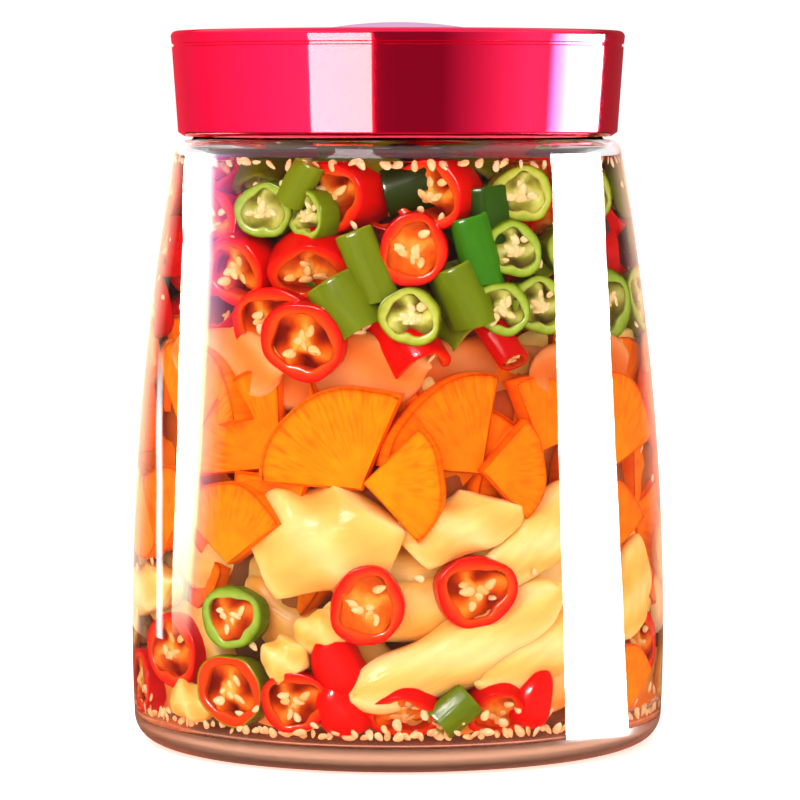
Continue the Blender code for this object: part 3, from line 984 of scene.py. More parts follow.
@dataclass(frozen=True)
class ChilliRing:
    """A short cut of chilli: a skin, a wall, ribs to a seedy middle."""

    diameter: float = 15.0 * MM
    length: float = 7.0 * MM
    wall: float = 2.1 * MM
    sides: int = 36
    heart_sides: int = 42
    heart_inset: float = 0.72
    tip_rows: int = 20
    tip_part: float = 0.12
    ribs: int = 3
    variants: int = 5
    hollows: tuple[float, ...] = (0.9, 0.35, 1.0, 0.6, 0.8)

    # The wall's section, as the share of its thickness inwards, millimetres
    # along, and the part that the finish reads.
    SECTION = (
        (0.0, 0.60, 0.05), (0.01, 0.16, 0.08), (0.05, 0.03, 0.14), (0.14, 0.0, 0.26), (0.32, 0.0, 0.46),
        (0.60, 0.04, 0.55), (0.86, 0.10, 0.64), (0.97, 0.30, 0.74), (1.0, 0.8, 0.85), (1.02, 3.0, 0.85),
        (1.0, 6.4, 0.85), (0.8, 6.97, 0.58), (0.30, 6.98, 0.42), (0.06, 6.86, 0.2),
        (0.0, 6.5, 0.0), (0.0, 4.6, 0.0), (0.0, 2.4, 0.0), (0.0, 1.2, 0.0),
    )

    def draws(self, variant: int) -> tuple[random.Random, list[float]]:
        """Return a ring's own source of chance, and its six phases."""
        source = random.Random(100 + variant)
        return source, [source.uniform(0, math.tau) for _ in range(6)]

    def outline(self, angle: float, phases: list[float]) -> float:
        """Return the uneven outer radius in a direction."""
        return self.diameter / 2 * (
            0.93 + 0.06 * math.cos(2 * angle + phases[0]) + 0.032 * math.cos(3 * angle + phases[1])
            + 0.014 * math.cos(5 * angle + phases[2]) + 0.008 * math.cos(8 * angle + phases[4]))

    def wall_shape(self, variant: int) -> Shape:
        """Return the wall of the ring.

        Args:
            variant: which of the rings.

        Returns:
            Its shape.
        """
        _, phases = self.draws(variant)
        whole = self.length / MM
        points = []
        parts = []
        for inward, along, part in self.SECTION:
            for angle in angles(self.sides):
                uneven = 0.95 + 0.22 * math.cos(self.ribs * angle + phases[3])
                uneven += 0.08 * math.sin(7 * angle + phases[0])
                thick = self.wall * uneven
                radius = self.outline(angle, phases) - inward * thick
                radius += 0.15 * MM * math.sin(math.pi * min(1.0, along / whole)) * (inward < 0.2)
                tilt = 0.35 * MM * math.cos(angle + phases[4]) * (1.0 - along / whole)
                points.append((
                    radius * math.cos(angle), -self.length / 2 + along * MM + tilt,
                    radius * math.sin(angle)))
                parts.append(part)
        faces = turned_over(grid_faces(len(self.SECTION), self.sides, closed_rows=True))
        return Shape(np.array(points), faces, np.array(parts))

    def heart_shape(self, variant: int) -> Shape:
        """Return the pulp in the ring: ribs, hollows with painted shade between them, and a raised middle.

        Args:
            variant: which of the rings.

        Returns:
            Its shape.
        """
        _, phases = self.draws(variant)
        shares = (0.03, 0.13, 0.24, 0.35, 0.46, 0.57, 0.68, 0.79, 0.90, 1.0)
        behind = ((1.0, 5.2), (0.5, 5.9), (0.03, 5.9))
        spots = []
        for share in shares:
            for angle in angles(self.heart_sides):
                swirl = angle + 0.35 * math.sin(angle + phases[2]) + 0.7 * share * math.sin(phases[4])
                rib = 0.5 + 0.5 * math.cos(self.ribs * swirl + phases[5])
                hollow = self.hollows[variant] * (1.0 - rib) ** 0.8 * ease((share - 0.20) / 0.35)
                lump = 0.26 * math.sin(5 * angle + 9 * share + phases[1])
                lump += 0.20 * math.sin(9 * angle - 17 * share + phases[0])
                depth = 0.5 + 3.0 * hollow + lump * ease(share / 0.4)
                # The part falls in the hollows, where the finish darkens: painted shade.
                spots.append((share, angle, depth, (1.0 - 0.4 * share) * (1.0 - 0.9 * hollow)))
        # The back of the heart takes a low, dark part: painted shade.
        for share, depth in behind:
            spots += [(share, angle, depth, 0.2) for angle in angles(self.heart_sides)]
        points = []
        for share, angle, depth, _ in spots:
            reach = self.outline(angle, phases) - self.wall * self.heart_inset
            points.append((
                reach * share * math.cos(angle), -self.length / 2 + depth * MM,
                reach * share * math.sin(angle)))
        faces = capped_faces(len(shares) + len(behind), self.heart_sides)
        return Shape(np.array(points), faces, np.array([part for *_, part in spots]))

    def tip_shape(self) -> Shape:
        """Return the rounded end of a chilli, a little bent, along Y.

        Returns:
            Its shape.
        """
        phases = [random.Random(41).uniform(0, math.tau)] * 5
        points = []
        for row in range(self.tip_rows):
            share = -math.cos(math.pi * row / (self.tip_rows - 1))
            girth = max(0.03, max(0.0, 1.0 - abs(share) ** 3.4) ** 0.5) * (1.0 - 0.15 * share)
            bend = self.diameter * 0.07 * (share * share - 0.5)
            for angle in angles(self.sides):
                uneven = 1.0 + 0.03 * math.sin(3 * angle + 4 * share)
                radius = self.outline(angle, phases) * girth * uneven
                points.append((
                    radius * math.cos(angle) + bend, share * self.length / 2, radius * math.sin(angle)))
        faces = turned_over(capped_faces(self.tip_rows, self.sides))
        return Shape(np.array(points), faces, np.full(len(points), self.tip_part))

    def seed_places(self, variant: int, count: int) -> list[tuple[Vector, float]]:
        """Return where seeds lie on the middle.

        Args:
            variant: which of the rings.
            count: how many seeds.

        Returns:
            Places in the ring's own frame, each with its direction.
        """
        source, phases = self.draws(variant)
        places = []
        for number in range(count):
            rib = (math.tau * (number % self.ribs) - phases[5]) / self.ribs
            angle = rib + source.gauss(0.0, 0.42)
            radius = source.uniform(0.06, 0.56) * self.diameter / 2
            depth = -self.length / 2 + source.uniform(0.1, 0.8) * MM
            places.append((
                Vector((radius * math.cos(angle), depth, radius * math.sin(angle))),
                angle + source.uniform(-0.9, 0.9)))
        return places


@dataclass(frozen=True)
class CarrotSlice:
    """A wedge of a round carrot slice, with its point at the origin."""

    radius: float = 20.0 * MM
    thickness: float = 5.0 * MM
    spreads: tuple[float, ...] = (80.0, 94.0, 108.0)
    columns: int = 22
    edge: float = 0.45 * MM
    side_part: float = 1.15
    rings: tuple[float, ...] = (0.0, 0.12, 0.3, 0.5, 0.7, 0.86, 0.96, 1.0)

    def shape(self, variant: int) -> Shape:
        """Return the wedge with its middle along +X.

        Args:
            variant: which of the spreads.

        Returns:
            Its shape.
        """
        wedge = math.radians(self.spreads[variant])
        chance = random.Random(500 + variant)
        phases = [chance.uniform(0, math.tau) for _ in range(3)]
        points: list[tuple[float, float, float]] = []
        parts: list[float] = []
        layers: list[list[list[int]]] = []
        half = self.thickness / 2
        for side, inset in ((-1, self.edge), (-1, 0.0), (1, 0.0), (1, self.edge)):
            layer = []
            lift = half if inset else half - self.edge
            for share in self.rings:
                row = []
                for angle in (wedge * (column / self.columns - 0.5) for column in range(self.columns + 1)):
                    uneven = 1.0 + 0.012 * math.sin(7 * angle + phases[0])
                    uneven += 0.02 * math.sin(3 * angle + phases[1])
                    radius = self.radius * uneven * share
                    x = radius * math.cos(angle)
                    z = radius * math.sin(angle)
                    if inset:
                        x = inset * 1.2 + x * (1.0 - 2.2 * inset / self.radius)
                        z = z * (1.0 - 2.0 * inset / self.radius)
                    wave = 0.2 * MM * math.sin(160 * x + phases[2]) * (1.0 if side < 0 else 0.5)
                    row.append(len(points))
                    points.append((x, side * lift + wave, z))
                    parts.append(share if inset else self.side_part)
                layer.append(row)
            layers.append(layer)
        return Shape(np.array(points), self.join_layers(layers), np.array(parts))

    def join_layers(self, layers: list[list[list[int]]]) -> Faces:
        """Join the wedge's layers into a closed skin.

        Args:
            layers: point numbers by layer, ring and column, from the front to the back.

        Returns:
            The faces.
        """
        faces: Faces = []
        for layer, is_back in ((layers[0], False), (layers[-1], True)):
            for lower, upper in zip(layer[:-1], layer[1:]):
                for column in range(self.columns):
                    quad = (lower[column], lower[column + 1], upper[column + 1], upper[column])
                    faces.append(quad if is_back else tuple(reversed(quad)))
        rims = []
        for layer in layers:
            rim = [row[0] for row in layer] + layer[-1][1:]
            rims.append(rim + [row[-1] for row in reversed(layer[1:-1])])
        for first, second in zip(rims[:-1], rims[1:]):
            for index in range(len(first)):
                after = (index + 1) % len(first)
                faces.append((first[index], first[after], second[after], second[index]))
        return faces


class PaleKind(Enum):
    """The sorts of pale piece, by the number of their shape."""

    FINGER = 0
    CURVED_FINGER = 1
    CHUNK = 2
    SLICE = 3


@dataclass(frozen=True)
class PalePiece:
    """A peeled root piece along X: a finger, a knife-cut chunk or a slice."""

    length: float = 40.0 * MM
    width: float = 13.0 * MM
    thickness: float = 9.0 * MM
    rows: int = 34
    columns: int = 28
    slice_half: float = 0.27
    cuts: int = 9
    cut_reach: float = 0.66

    def shape(self, kind: PaleKind) -> Shape:
        """Return the piece.

        Args:
            kind: which sort it is.

        Returns:
            Its shape.
        """
        chance = random.Random(700 + kind.value)
        phases = [chance.uniform(0, math.tau) for _ in range(8)]
        chunk = kind is PaleKind.CHUNK
        bow = {PaleKind.FINGER: 0.05, PaleKind.CURVED_FINGER: 0.10}.get(kind, 0.0)
        calm = 0.4 if kind is PaleKind.SLICE else 1.0
        rows = []
        parts = []
        for row in range(self.rows):
            share = -math.cos(math.pi * row / (self.rows - 1))
            girth = max(0.0, 1.0 - abs(share) ** 2.6) ** 0.5
            if row in (0, self.rows - 1):
                girth = 0.02
            for around in angles(self.columns):
                knob = 0.07 * math.sin(5.2 * share + phases[0]) + 0.05 * math.sin(9 * share + phases[1])
                knob += 0.05 * math.sin(2 * around + 3 * share + phases[2])
                knob += (0.10 if chunk else 0.02) * math.sin(3 * around + 4 * share + phases[3])
                ripple = math.sin(11 * around + 2 * share + phases[5])
                knob += 0.018 * ripple * math.sin(13 * share + phases[6])
                knob = 1.0 + knob * calm
                x = share * self.length / 2 * (1.0 + 0.04 * math.cos(around + phases[4]))
                y = girth * knob * math.sin(around) * self.thickness / 2
                z = girth * knob * math.cos(around) * self.width / 2
                z += bow * self.length * (share * share - 0.4)
                rows.append((x, y, z))
                parts.append(0.5 + 0.3 * math.sin(3 * around + 5 * share))
        points = np.array(rows)
        if chunk:
            self.cut_flat(points, chance)
        if kind is PaleKind.SLICE:
            limit = self.slice_half * self.thickness
            points[:, 1] = np.clip(points[:, 1], -limit, limit)
        faces = turned_over(capped_faces(self.rows, self.columns))
        return Shape(points, faces, np.array(parts))

    def cut_flat(self, points: np.ndarray, chance: random.Random) -> None:
        """Flatten the piece against planes, as a knife leaves it.

        Args:
            points: the piece's points, changed in place.
            chance: the seeded source of the planes.
        """
        sizes = np.array([self.length / 2, self.thickness / 2, self.width / 2])
        for _ in range(self.cuts):
            normal = np.array([chance.gauss(0, 1), chance.gauss(0, 0.7), chance.gauss(0, 1)])
            normal /= np.linalg.norm(normal)
            over = (points / sizes) @ normal - chance.uniform(self.cut_reach, self.cut_reach + 0.25)
            push = np.clip(over, 0.0, None) * 0.9
            points -= push[:, None] * normal[None, :] * sizes[None, :]


@dataclass(frozen=True)
class Seed:
    """One flat seed with a pointed end."""

    length: float = 3.1 * MM
    width: float = 2.0 * MM
    thickness: float = 0.8 * MM
    rows: int = 6
    columns: int = 8
    variants: int = 2

    def shape(self, variant: int) -> Shape:
        """Return the seed, flat towards -Y.

        Args:
            variant: 1 for a hollow one, 0 for a flat one.

        Returns:
            Its shape.
        """
        points = []
        for row in range(self.rows):
            share = -math.cos(math.pi * row / (self.rows - 1))
            girth = max(0.03, max(0.0, 1.0 - share * share) ** 0.5 * (1.0 - 0.28 * share))
            hollow = 0.2 * self.thickness * math.exp(-6 * share * share) * variant
            for around in angles(self.columns):
                points.append((
                    share * self.length / 2,
                    girth * math.sin(around) * self.thickness / 2 + hollow,
                    girth * math.cos(around) * self.width / 2))
        faces = turned_over(capped_faces(self.rows, self.columns))
        return Shape(np.array(points), faces, np.full(len(points), 0.5))


def store(mesh: bpy.types.Mesh, name: str, values: object, kind: str = 'FLOAT') -> None:
    """Give each point of a mesh a value.

    Args:
        mesh: the mesh.
        name: the attribute's name.
        values: one number or vector a point.
        kind: the attribute's type.
    """
    numbers = np.array(values, np.int32 if kind == 'INT' else np.float32)
    attribute = mesh.attributes.new(name, kind, 'POINT')
    attribute.data.foreach_set("vector" if kind == 'FLOAT_VECTOR' else "value", numbers.ravel())


@dataclass
class CopyTree:
    """A Geometry Nodes tree that puts shapes on placed points and roughens them."""

    name: str = "Place copies"
    detail: float = 2.5
    tree: Tree | None = field(default=None, init=False)

    # The tree's named inputs, each with its type.
    INPUTS = (
        ("Geometry", "Geometry"), ("Shapes", "Collection"), ("Unevenness", "Float"),
        ("Lumps a Metre", "Float"), ("Seed", "Int"), ("Finish", "Material"))

    def build(self) -> Tree:
        """Make the tree, once, with its named inputs.

        Returns:
            The tree.
        """
        if self.tree:
            return self.tree
        tree = bpy.data.node_groups.new(self.name, "GeometryNodeTree")
        for name, kind in self.INPUTS:
            tree.interface.new_socket(name, in_out='INPUT', socket_type="NodeSocket" + kind)
        tree.interface.new_socket("Geometry", in_out='OUTPUT', socket_type="NodeSocketGeometry")
        graph = Graph(tree)
        given = graph.add("NodeGroupInput").outputs
        shapes = graph.add("GeometryNodeCollectionInfo", {
            "Collection": given["Shapes"], "Separate Children": True, "Reset Children": True})
        turned = graph.add("FunctionNodeEulerToRotation", {0: graph.stored("turn", 'FLOAT_VECTOR')})
        copies = graph.add("GeometryNodeInstanceOnPoints", {
            "Points": given["Geometry"], "Instance": shapes.outputs[0], "Pick Instance": True,
            "Instance Index": graph.stored("variant", 'INT'),
            "Scale": graph.stored("size", 'FLOAT_VECTOR'), "Rotation": turned.outputs[0]})
        real = graph.add("GeometryNodeRealizeInstances", {0: copies.outputs[0]})
        lumps = graph.add("ShaderNodeTexNoise", {
            "Vector": graph.add("GeometryNodeInputPosition").outputs[0], "Detail": self.detail,
            "Scale": given["Lumps a Metre"], "W": given["Seed"]}, noise_dimensions='4D')
        centred = graph.add(
            "ShaderNodeVectorMath", {0: lumps.outputs["Color"], 1: grey(0.5)}, operation='SUBTRACT')
        push = graph.add(
            "ShaderNodeVectorMath", {0: centred.outputs[0], "Scale": given["Unevenness"]},
            operation='SCALE')
        moved = graph.add("GeometryNodeSetPosition", {
            "Geometry": real.outputs[0], "Offset": push.outputs[0]})
        dressed = graph.add("GeometryNodeSetMaterial", {
            "Geometry": moved.outputs[0], "Material": given["Finish"]})
        graph.add("NodeGroupOutput", {"Geometry": dressed.outputs[0]})
        self.tree = tree
        return tree

    def copies(self, name: str, placings: list[Placing], shapes: list[Shape], finish: Material,
               unevenness: float, lumps: float, seed: int) -> Thing:
        """Make one piece of many copies.

        Args:
            name: the piece's name.
            placings: where the copies go.
            shapes: the shapes to choose from.
            finish: their material.
            unevenness: how far points are pushed about, in metres.
            lumps: how many lumps there are in a metre.
            seed: the seed of the lumps.

        Returns:
            A plain mesh object with no modifier.
        """
        stock = bpy.data.collections.new(name + " shapes")
        bpy.context.scene.collection.children.link(stock)
        for number, shape in enumerate(shapes):
            model = mesh_object(f"{name} {number:02d}", shape.points, shape.faces)
            bpy.context.scene.collection.objects.unlink(model)
            stock.objects.link(model)
            store(model.data, "parts", shape.parts)
            store(model.data, "local", shape.points, 'FLOAT_VECTOR')
        piece = mesh_object(name, [placing.middle for placing in placings], [])
        for attribute, kind in (
                ("turn", 'FLOAT_VECTOR'), ("size", 'FLOAT_VECTOR'), ("variant", 'INT'), ("shade", 'FLOAT')):
            store(piece.data, attribute, [getattr(placing, attribute) for placing in placings], kind)
        modifier = piece.modifiers.new(self.name, 'NODES')
        modifier.node_group = self.build()
        values = {
            "Shapes": stock, "Unevenness": unevenness, "Lumps a Metre": lumps, "Seed": seed,
            "Finish": finish}
        for item in modifier.node_group.interface.items_tree:
            if item.name in values and item.in_out == 'INPUT':
                modifier[item.identifier] = values[item.name]
        piece.update_tag()
        graph = bpy.context.evaluated_depsgraph_get()
        plain = bpy.data.meshes.new_from_object(
            piece.evaluated_get(graph), preserve_all_data_layers=True, depsgraph=graph)
        piece.modifiers.clear()
        piece.data = plain
        plain.name = name
        plain.shade_smooth()
        if finish.name not in [slot.name for slot in plain.materials if slot]:
            plain.materials.clear()
            plain.materials.append(finish)
        for model in list(stock.objects):
            bpy.data.objects.remove(model, do_unlink=True)
        bpy.data.collections.remove(stock)
        return piece


class Skin(Enum):
    """The colours of chilli, by skin and inside."""

    RED = "red"
    GREEN = "green"
    PALE_GREEN = "green with a red inside"
    TURNING = "green skin on red flesh"


@dataclass
class PickleHeap:
    """The heap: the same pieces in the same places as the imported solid."""

    jar: JarGlass
    gap: float = 0.45 * MM
    bottom: float = 6.1 * MM
    seed: int = 11
    ring: ChilliRing = field(default_factory=ChilliRing)
    carrot: CarrotSlice = field(default_factory=CarrotSlice)
    pale: PalePiece = field(default_factory=PalePiece)
    kernel: Seed = field(default_factory=Seed)
    mixed_shade: float = 0.15
    tip_shade: float = 0.9
    row_start: float = 82.0
    row_end: float = 280.0
    green_until: float = 108.0
    ring_rows: tuple[tuple[float, float], ...] = ((111.4, 0.45), (99.6, 0.40), (87.6, 0.55))
    ring_spacing: float = 15.4
    pale_slice_height: float = 76.4
    pale_slice_spacing: float = 31.0
    carrot_rows: tuple[tuple[float, float], ...] = ((57.5, 68.0), (54.0, 250.0))
    carrot_spacing: float = 27.0
    finger_rows: tuple[float, ...] = (43.0, 30.5, 18.5)
    finger_spacing: float = 43.0
    low_ring_rows: tuple[float, ...] = (36.5, 13.6)
    low_ring_spacing: float = 37.0
    inner_ring_rows: tuple[float, ...] = (115.0, 106.0, 95.0, 84.0)
    inner_ring_spacing: float = 14.5
    inner_green_share: float = 0.4
    inner_carrot_rows: tuple[tuple[float, float], ...] = ((66.0, 40.0), (52.0, 130.0), (44.0, 300.0))
    inner_carrot_spacing: float = 24.0
    inner_carrot_wedge: float = 94.0
    inner_pale_rows: tuple[float, ...] = (76.0, 38.0, 26.0, 14.0)
    inner_pale_spacing: float = 36.0
    core_inset: float = 11.0 * MM
    core_top: float = 115.0 * MM
    core_crown: float = 3.6 * MM
    core_rows: int = 60
    core_columns: int = 96
    copy_tree: CopyTree = field(default_factory=CopyTree)

    # Rings: skin, bearing, height, diameter, length, turn, nod, back. In all the
    # lists bearings, turns, nods and rolls are degrees, and sizes are millimetres.
    FRONT_RINGS = (
        (Skin.GREEN, -38, 107.8, 12.4, 5.5, 14, 0, 0),
        (Skin.RED, -16, 110.3, 16.0, 11.0, -22, 0, 0),
        (Skin.GREEN, -23, 107.0, 10.5, 5.0, -28, 0, 0),
        (Skin.RED, 12, 111.0, 15.0, 11.0, -32, 0, 0),
        (Skin.GREEN, 36, 111.0, 12.6, 5.5, -18, 0, 0),
        (Skin.GREEN, 31, 100.4, 12.2, 5.5, -14, 0, 0),
        (Skin.GREEN, 27, 89.0, 11.6, 5.5, -18, 0, 0),
        (Skin.GREEN, 38, 89.5, 12.4, 6.0, -12, 0, 1.0),
        (Skin.GREEN, 65, 110.8, 13.0, 6.0, -40, 0, 0),
        (Skin.GREEN, 67, 88.5, 17.0, 7.0, -40, 0, 0),
        (Skin.GREEN, 53, 100.0, 13.0, 6.0, -20, 0, 0.5),
        (Skin.RED, -24, 97.2, 16.2, 7.0, 6, 32, 0),
        (Skin.RED, -24, 83.0, 16.8, 7.0, 8, 5, 0),
        (Skin.RED, -35, 86.0, 16.0, 7.0, 12, 0, 2.2),
        (Skin.RED, -47, 96.5, 15.0, 8.0, 10, 12, 0.6),
        (Skin.RED, -60, 104.0, 15.0, 8.0, 20, -10, 0.5),
        (Skin.RED, 4, 100.4, 14.4, 7.0, -4, 0, 0),
        (Skin.GREEN, 3, 87.8, 12.2, 4.6, -5, 0, 0),
        (Skin.RED, -7, 32.3, 15.6, 6.5, 6, 0, 0),
        (Skin.RED, 18, 34.9, 15.6, 6.5, -5, 0, 0),
        (Skin.PALE_GREEN, -40, 29.0, 14.0, 4.4, 8, 0, 0),
        (Skin.TURNING, -41, 14.6, 15.6, 6.0, 10, 0, 0),
        (Skin.RED, -63, 20.6, 16.0, 6.0, 16, 0, 0),
        (Skin.RED, -24, 13.4, 13.6, 6.5, 10, 0, 0),
        (Skin.RED, 1, 11.0, 14.2, 6.0, 0, 48, 0),
        (Skin.RED, 24, 11.4, 12.6, 6.0, -10, 40, 0),
        (Skin.RED, 71, 21.5, 15.4, 6.0, -30, 0, 0),
    )
    # Stubs lying side on: skin, bearing, height, width, length, roll, nod, back, shade
    # Their lowest shades are painted shade, for stubs deep in the gaps.
    FRONT_STUBS = (
        (Skin.GREEN, -27, 113.2, 6.4, 9.0, 30, 0, 0, 0.8),
        (Skin.GREEN, 3, 112.0, 9.6, 8.6, 74, 0, 4.0, 0.0),
        (Skin.GREEN, -8, 97.6, 7.4, 14.0, -22, 0, 0, 0.6),
        (Skin.GREEN, -13, 89.8, 11.0, 12.0, -32, 0, 0, 0.6),
        (Skin.RED, 2, 82.4, 12.4, 13.5, -29, -32, 0.8, 0.6),
        (Skin.GREEN, 21, 100.2, 8.0, 14.0, -14, 0, 0, 1.0),
        (Skin.GREEN, 26, 106.0, 8.0, 13.0, -8, 0, 2.0, 0.05),
        (Skin.GREEN, 17, 91.6, 10.6, 12.5, -24, 0, 0, 0.5),
        (Skin.RED, 26.5, 83.0, 6.6, 11.0, -22, -30, 1.0, 0.08),
        (Skin.GREEN, 13, 11.2, 7.6, 8.6, 50, 0, 0.6, 0.3),
    )
    # Rounded chilli ends: bearing, height, width, length, roll, back
    FRONT_TIPS = (
        (-14, 21.6, 10.4, 14.6, -20, 0.0),
        (-13, 12.6, 10.2, 12.6, -26, 0.0),
        (33, 13.4, 9.2, 12.4, 16, 0.0),
    )
    # Carrot slices: bearing and height of the point, radius, middle, spread, back, shade
    FRONT_CARROTS = (
        (-8.4, 54.2, 20.2, 122, 104, 0.8, 0.75),
        (-7.8, 55.9, 15.2, -1, 92, 0, 0.9),
        (21.2, 57.0, 19.4, 127, 98, 2.4, 0.35),
        (19.6, 58.0, 13.2, 0, 92, 0.8, 0.3),
        (-29, 58.0, 20.0, 140, 92, 1.4, 0.5),
        (-22, 56.0, 15.0, 215, 78, 2.4, 0.3),
        (-42, 39.0, 16.0, 88, 116, 0.8, 0.6),
        (58, 56.0, 20.0, 72, 110, 0.5, 0.5),
        (54, 38.0, 17.0, 84, 120, 1.0, 0.2),
        (36, 61.0, 15.0, 66, 90, 1.6, 0.2),
        (62, 8.6, 13.0, 86, 120, 0.5, 0.5),
        (-62, 62.0, 20.0, 70, 116, 0.8, 0.6),
        (-66, 40.0, 17.0, 96, 100, 0.8, 0.3),
    )
    # Pale pieces: kind, bearing, height, length, width, thickness, roll, back, shade
    # Low shades on the slices are painted shade.
    FRONT_PALE = (
        (PaleKind.CHUNK, -18, 43.6, 34.0, 25.0, 13.0, -8, 0.6, 0.5),
        (PaleKind.CHUNK, 15, 46.6, 28.0, 14.0, 8.0, -16, 1.8, 0.6),
        (PaleKind.FINGER, 15, 23.8, 46.0, 13.6, 11.0, -27, 0.6, 0.9),
        (PaleKind.FINGER, 39, 24.4, 36.0, 12.4, 10.0, -26, 0.8, 0.9),
        (PaleKind.CURVED_FINGER, 9, 34.4, 42.0, 13.0, 10.0, -20, 3.4, 0.3),
        (PaleKind.FINGER, 34, 44.6, 27.0, 12.0, 8.0, -42, 0.8, 0.7),
        (PaleKind.CHUNK, -26, 21.4, 11.4, 10.0, 7.0, -30, 0.0, 0.4),
        (PaleKind.FINGER, -17, 27.4, 12.0, 8.6, 7.0, -20, 0.0, 0.1),
        (PaleKind.CURVED_FINGER, 66, 32.0, 22.0, 13.0, 8.0, -60, 0.5, 0.3),
        (PaleKind.CHUNK, -54, 10.8, 14.0, 8.6, 7.0, 12, 0.0, 0.4),
        (PaleKind.SLICE, -16.5, 76.4, 35.0, 16.0, 7.0, -4, 4.4, 0.75),
        (PaleKind.SLICE, 23, 75.4, 34.0, 16.0, 7.0, 4, 6.0, 0.3),
        (PaleKind.SLICE, -48, 77.6, 30.0, 14.0, 7.0, 4, 2.0, 0.8),
        (PaleKind.SLICE, 52, 76.4, 28.0, 14.0, 7.0, -5, 2.0, 0.1),
    )

    # Loose seeds: count, lowest, highest and back, in millimetres
    SEED_ZONES = (
        (190, 6.3, 8.0, 0.0), (80, 8.0, 12.0, 0.8), (84, 116.5, 117.4, 0.3), (60, 84.0, 114.0, 1.5),
        (30, 20.0, 60.0, 2.0),
    )

    def __post_init__(self) -> None:
        """Read the inside of the glass at many heights, and start the lists of copies."""
        self.heights = np.linspace(0.0, self.jar.rim_height, 1400)
        self.radii = np.array([
            self.jar.inner_radius(max(self.bottom, float(height))) for height in self.heights])
        self.rings: dict[Skin, list[Placing]] = {skin: [] for skin in Skin}
        self.tips: list[Placing] = []
        self.carrots: list[Placing] = []
        self.pales: list[Placing] = []
        self.slices: list[Placing] = []
        self.seeds: list[Placing] = []
        self.ring_shapes = [self.ring.wall_shape(number) for number in range(self.ring.variants)]
        self.tip_form = self.ring.tip_shape()
        self.carrot_shapes = [
            self.carrot.shape(number) for number in range(len(self.carrot.spreads))]
        self.pale_shapes = [self.pale.shape(kind) for kind in PaleKind]
        self.seed_shapes = [self.kernel.shape(number) for number in range(self.kernel.variants)]

    def lean(self, shape: Shape, size: Vector, facing: Matrix, bearing: float, height: float,
             back: float) -> tuple[Vector, Vector]:
        """Find where a piece leans on the glass.

        Args:
            shape: its shape.
            size: its size beside the shape's own.
            facing: how it is turned, seen from the front.
            bearing: its direction from the front, in degrees.
            height: the height of its middle, in metres.
            back: how far behind the wall it lies, in metres.

        Returns:
            Its middle, and its turn as XYZ angles.
        """
        points = (shape.points * np.array(size)) @ np.array(facing.to_3x3()).T
        height += max(0.0, self.bottom - (float(points[:, 2].min()) + height))
        limits = np.interp(points[:, 2] + height, self.heights, self.radii) - self.gap - back
        low, high = 0.0, self.jar.widest_radius
        for _ in range(24):
            middle = (low + high) / 2
            clear = np.all(np.hypot(points[:, 0], points[:, 1] - middle) <= limits)
            low, high = (middle, high) if clear else (low, middle)
        about = Matrix.Rotation(math.radians(bearing), 4, 'Z')
        placed = about @ Matrix.Translation((0.0, -low, height)) @ facing
        return placed.translation.copy(), Vector(placed.to_euler('XYZ'))

    def facing(self, turn: float = 0.0, nod: float = 0.0, roll: float = 0.0) -> Matrix:
        """Return a turn about the upright, the level and the outward direction.

        Args:
            turn: degrees about the upright.
            nod: degrees about the level.
            roll: degrees about the outward direction.

        Returns:
            The turn as a matrix.
        """
        return (
            Matrix.Rotation(math.radians(turn), 4, 'Z')
            @ Matrix.Rotation(math.radians(nod), 4, 'X')
            @ Matrix.Rotation(math.radians(roll), 4, 'Y')
        )

    def add_ring(self, skin: Skin, bearing: float, height: float, diameter: float, length: float,
                 facing: Matrix, back: float, chance: random.Random, seeds: int = 5,
                 shade: float | None = None) -> None:
        """Place one chilli ring and its seeds.

        Args:
            skin: its colour.
            bearing: its direction from the front.
            height: its height in millimetres.
            diameter: its diameter in millimetres.
            length: its length in millimetres.
            facing: how it is turned.
            back: how far behind the wall it lies, in millimetres.
            chance: the seeded source of its variant and shade.
            seeds: how many seeds show in it.
            shade: its place between its darkest and its palest tone, if it is a set one.
        """
        variant = chance.randrange(self.ring.variants)
        across = diameter * MM / self.ring.diameter
        size = Vector((across, length * MM / self.ring.length, across))
        shape = self.ring_shapes[variant]
        middle, turn = self.lean(shape, size, facing, bearing, height * MM, back * MM)
        shade = chance.uniform(0.12, 0.88) if shade is None else shade
        shade = self.mixed_shade if skin is Skin.PALE_GREEN else shade
        self.rings[skin].append(Placing(middle, turn, size, variant, shade))
        placed = Matrix.Translation(middle) @ turn_matrix(turn)
        tones = (0.0, 0.5) if skin is Skin.RED else (0.4, 0.8)
        for place, direction in self.ring.seed_places(variant, seeds):
            depth = place.y + self.ring.length / 2 - length * MM / 2
            local = Vector((place.x * across, depth, place.z * across))
            spin = placed @ Matrix.Translation(local) @ self.facing(
                turn=chance.uniform(-35, 35), nod=chance.uniform(-35, 35), roll=-math.degrees(direction))
            grow = chance.uniform(0.75, 1.0) * (0.55 + 0.45 * across)
            self.seeds.append(Placing(
                spin.translation.copy(), Vector(spin.to_euler('XYZ')), Vector((grow, grow, grow)),
                chance.randrange(self.kernel.variants), chance.uniform(*tones)))

    def row_bearings(self, spacing: float, height: float, shift: float, start: float,
                     end: float) -> list[float]:
        """Return even bearings along a stretch of the wall.

        Args:
            spacing: the least distance between pieces, in millimetres.
            height: the height of the row, in millimetres.
            shift: half steps by which the row is shifted.
            start: the first bearing.
            end: the last bearing.

        Returns:
            The bearings in degrees.
        """
        step = math.degrees(spacing * MM / self.jar.inner_radius(height * MM))
        count = int((end - start) / step)
        even = (end - start) / count
        return [start + even * (index + 0.5 + 0.5 * shift) for index in range(count)]

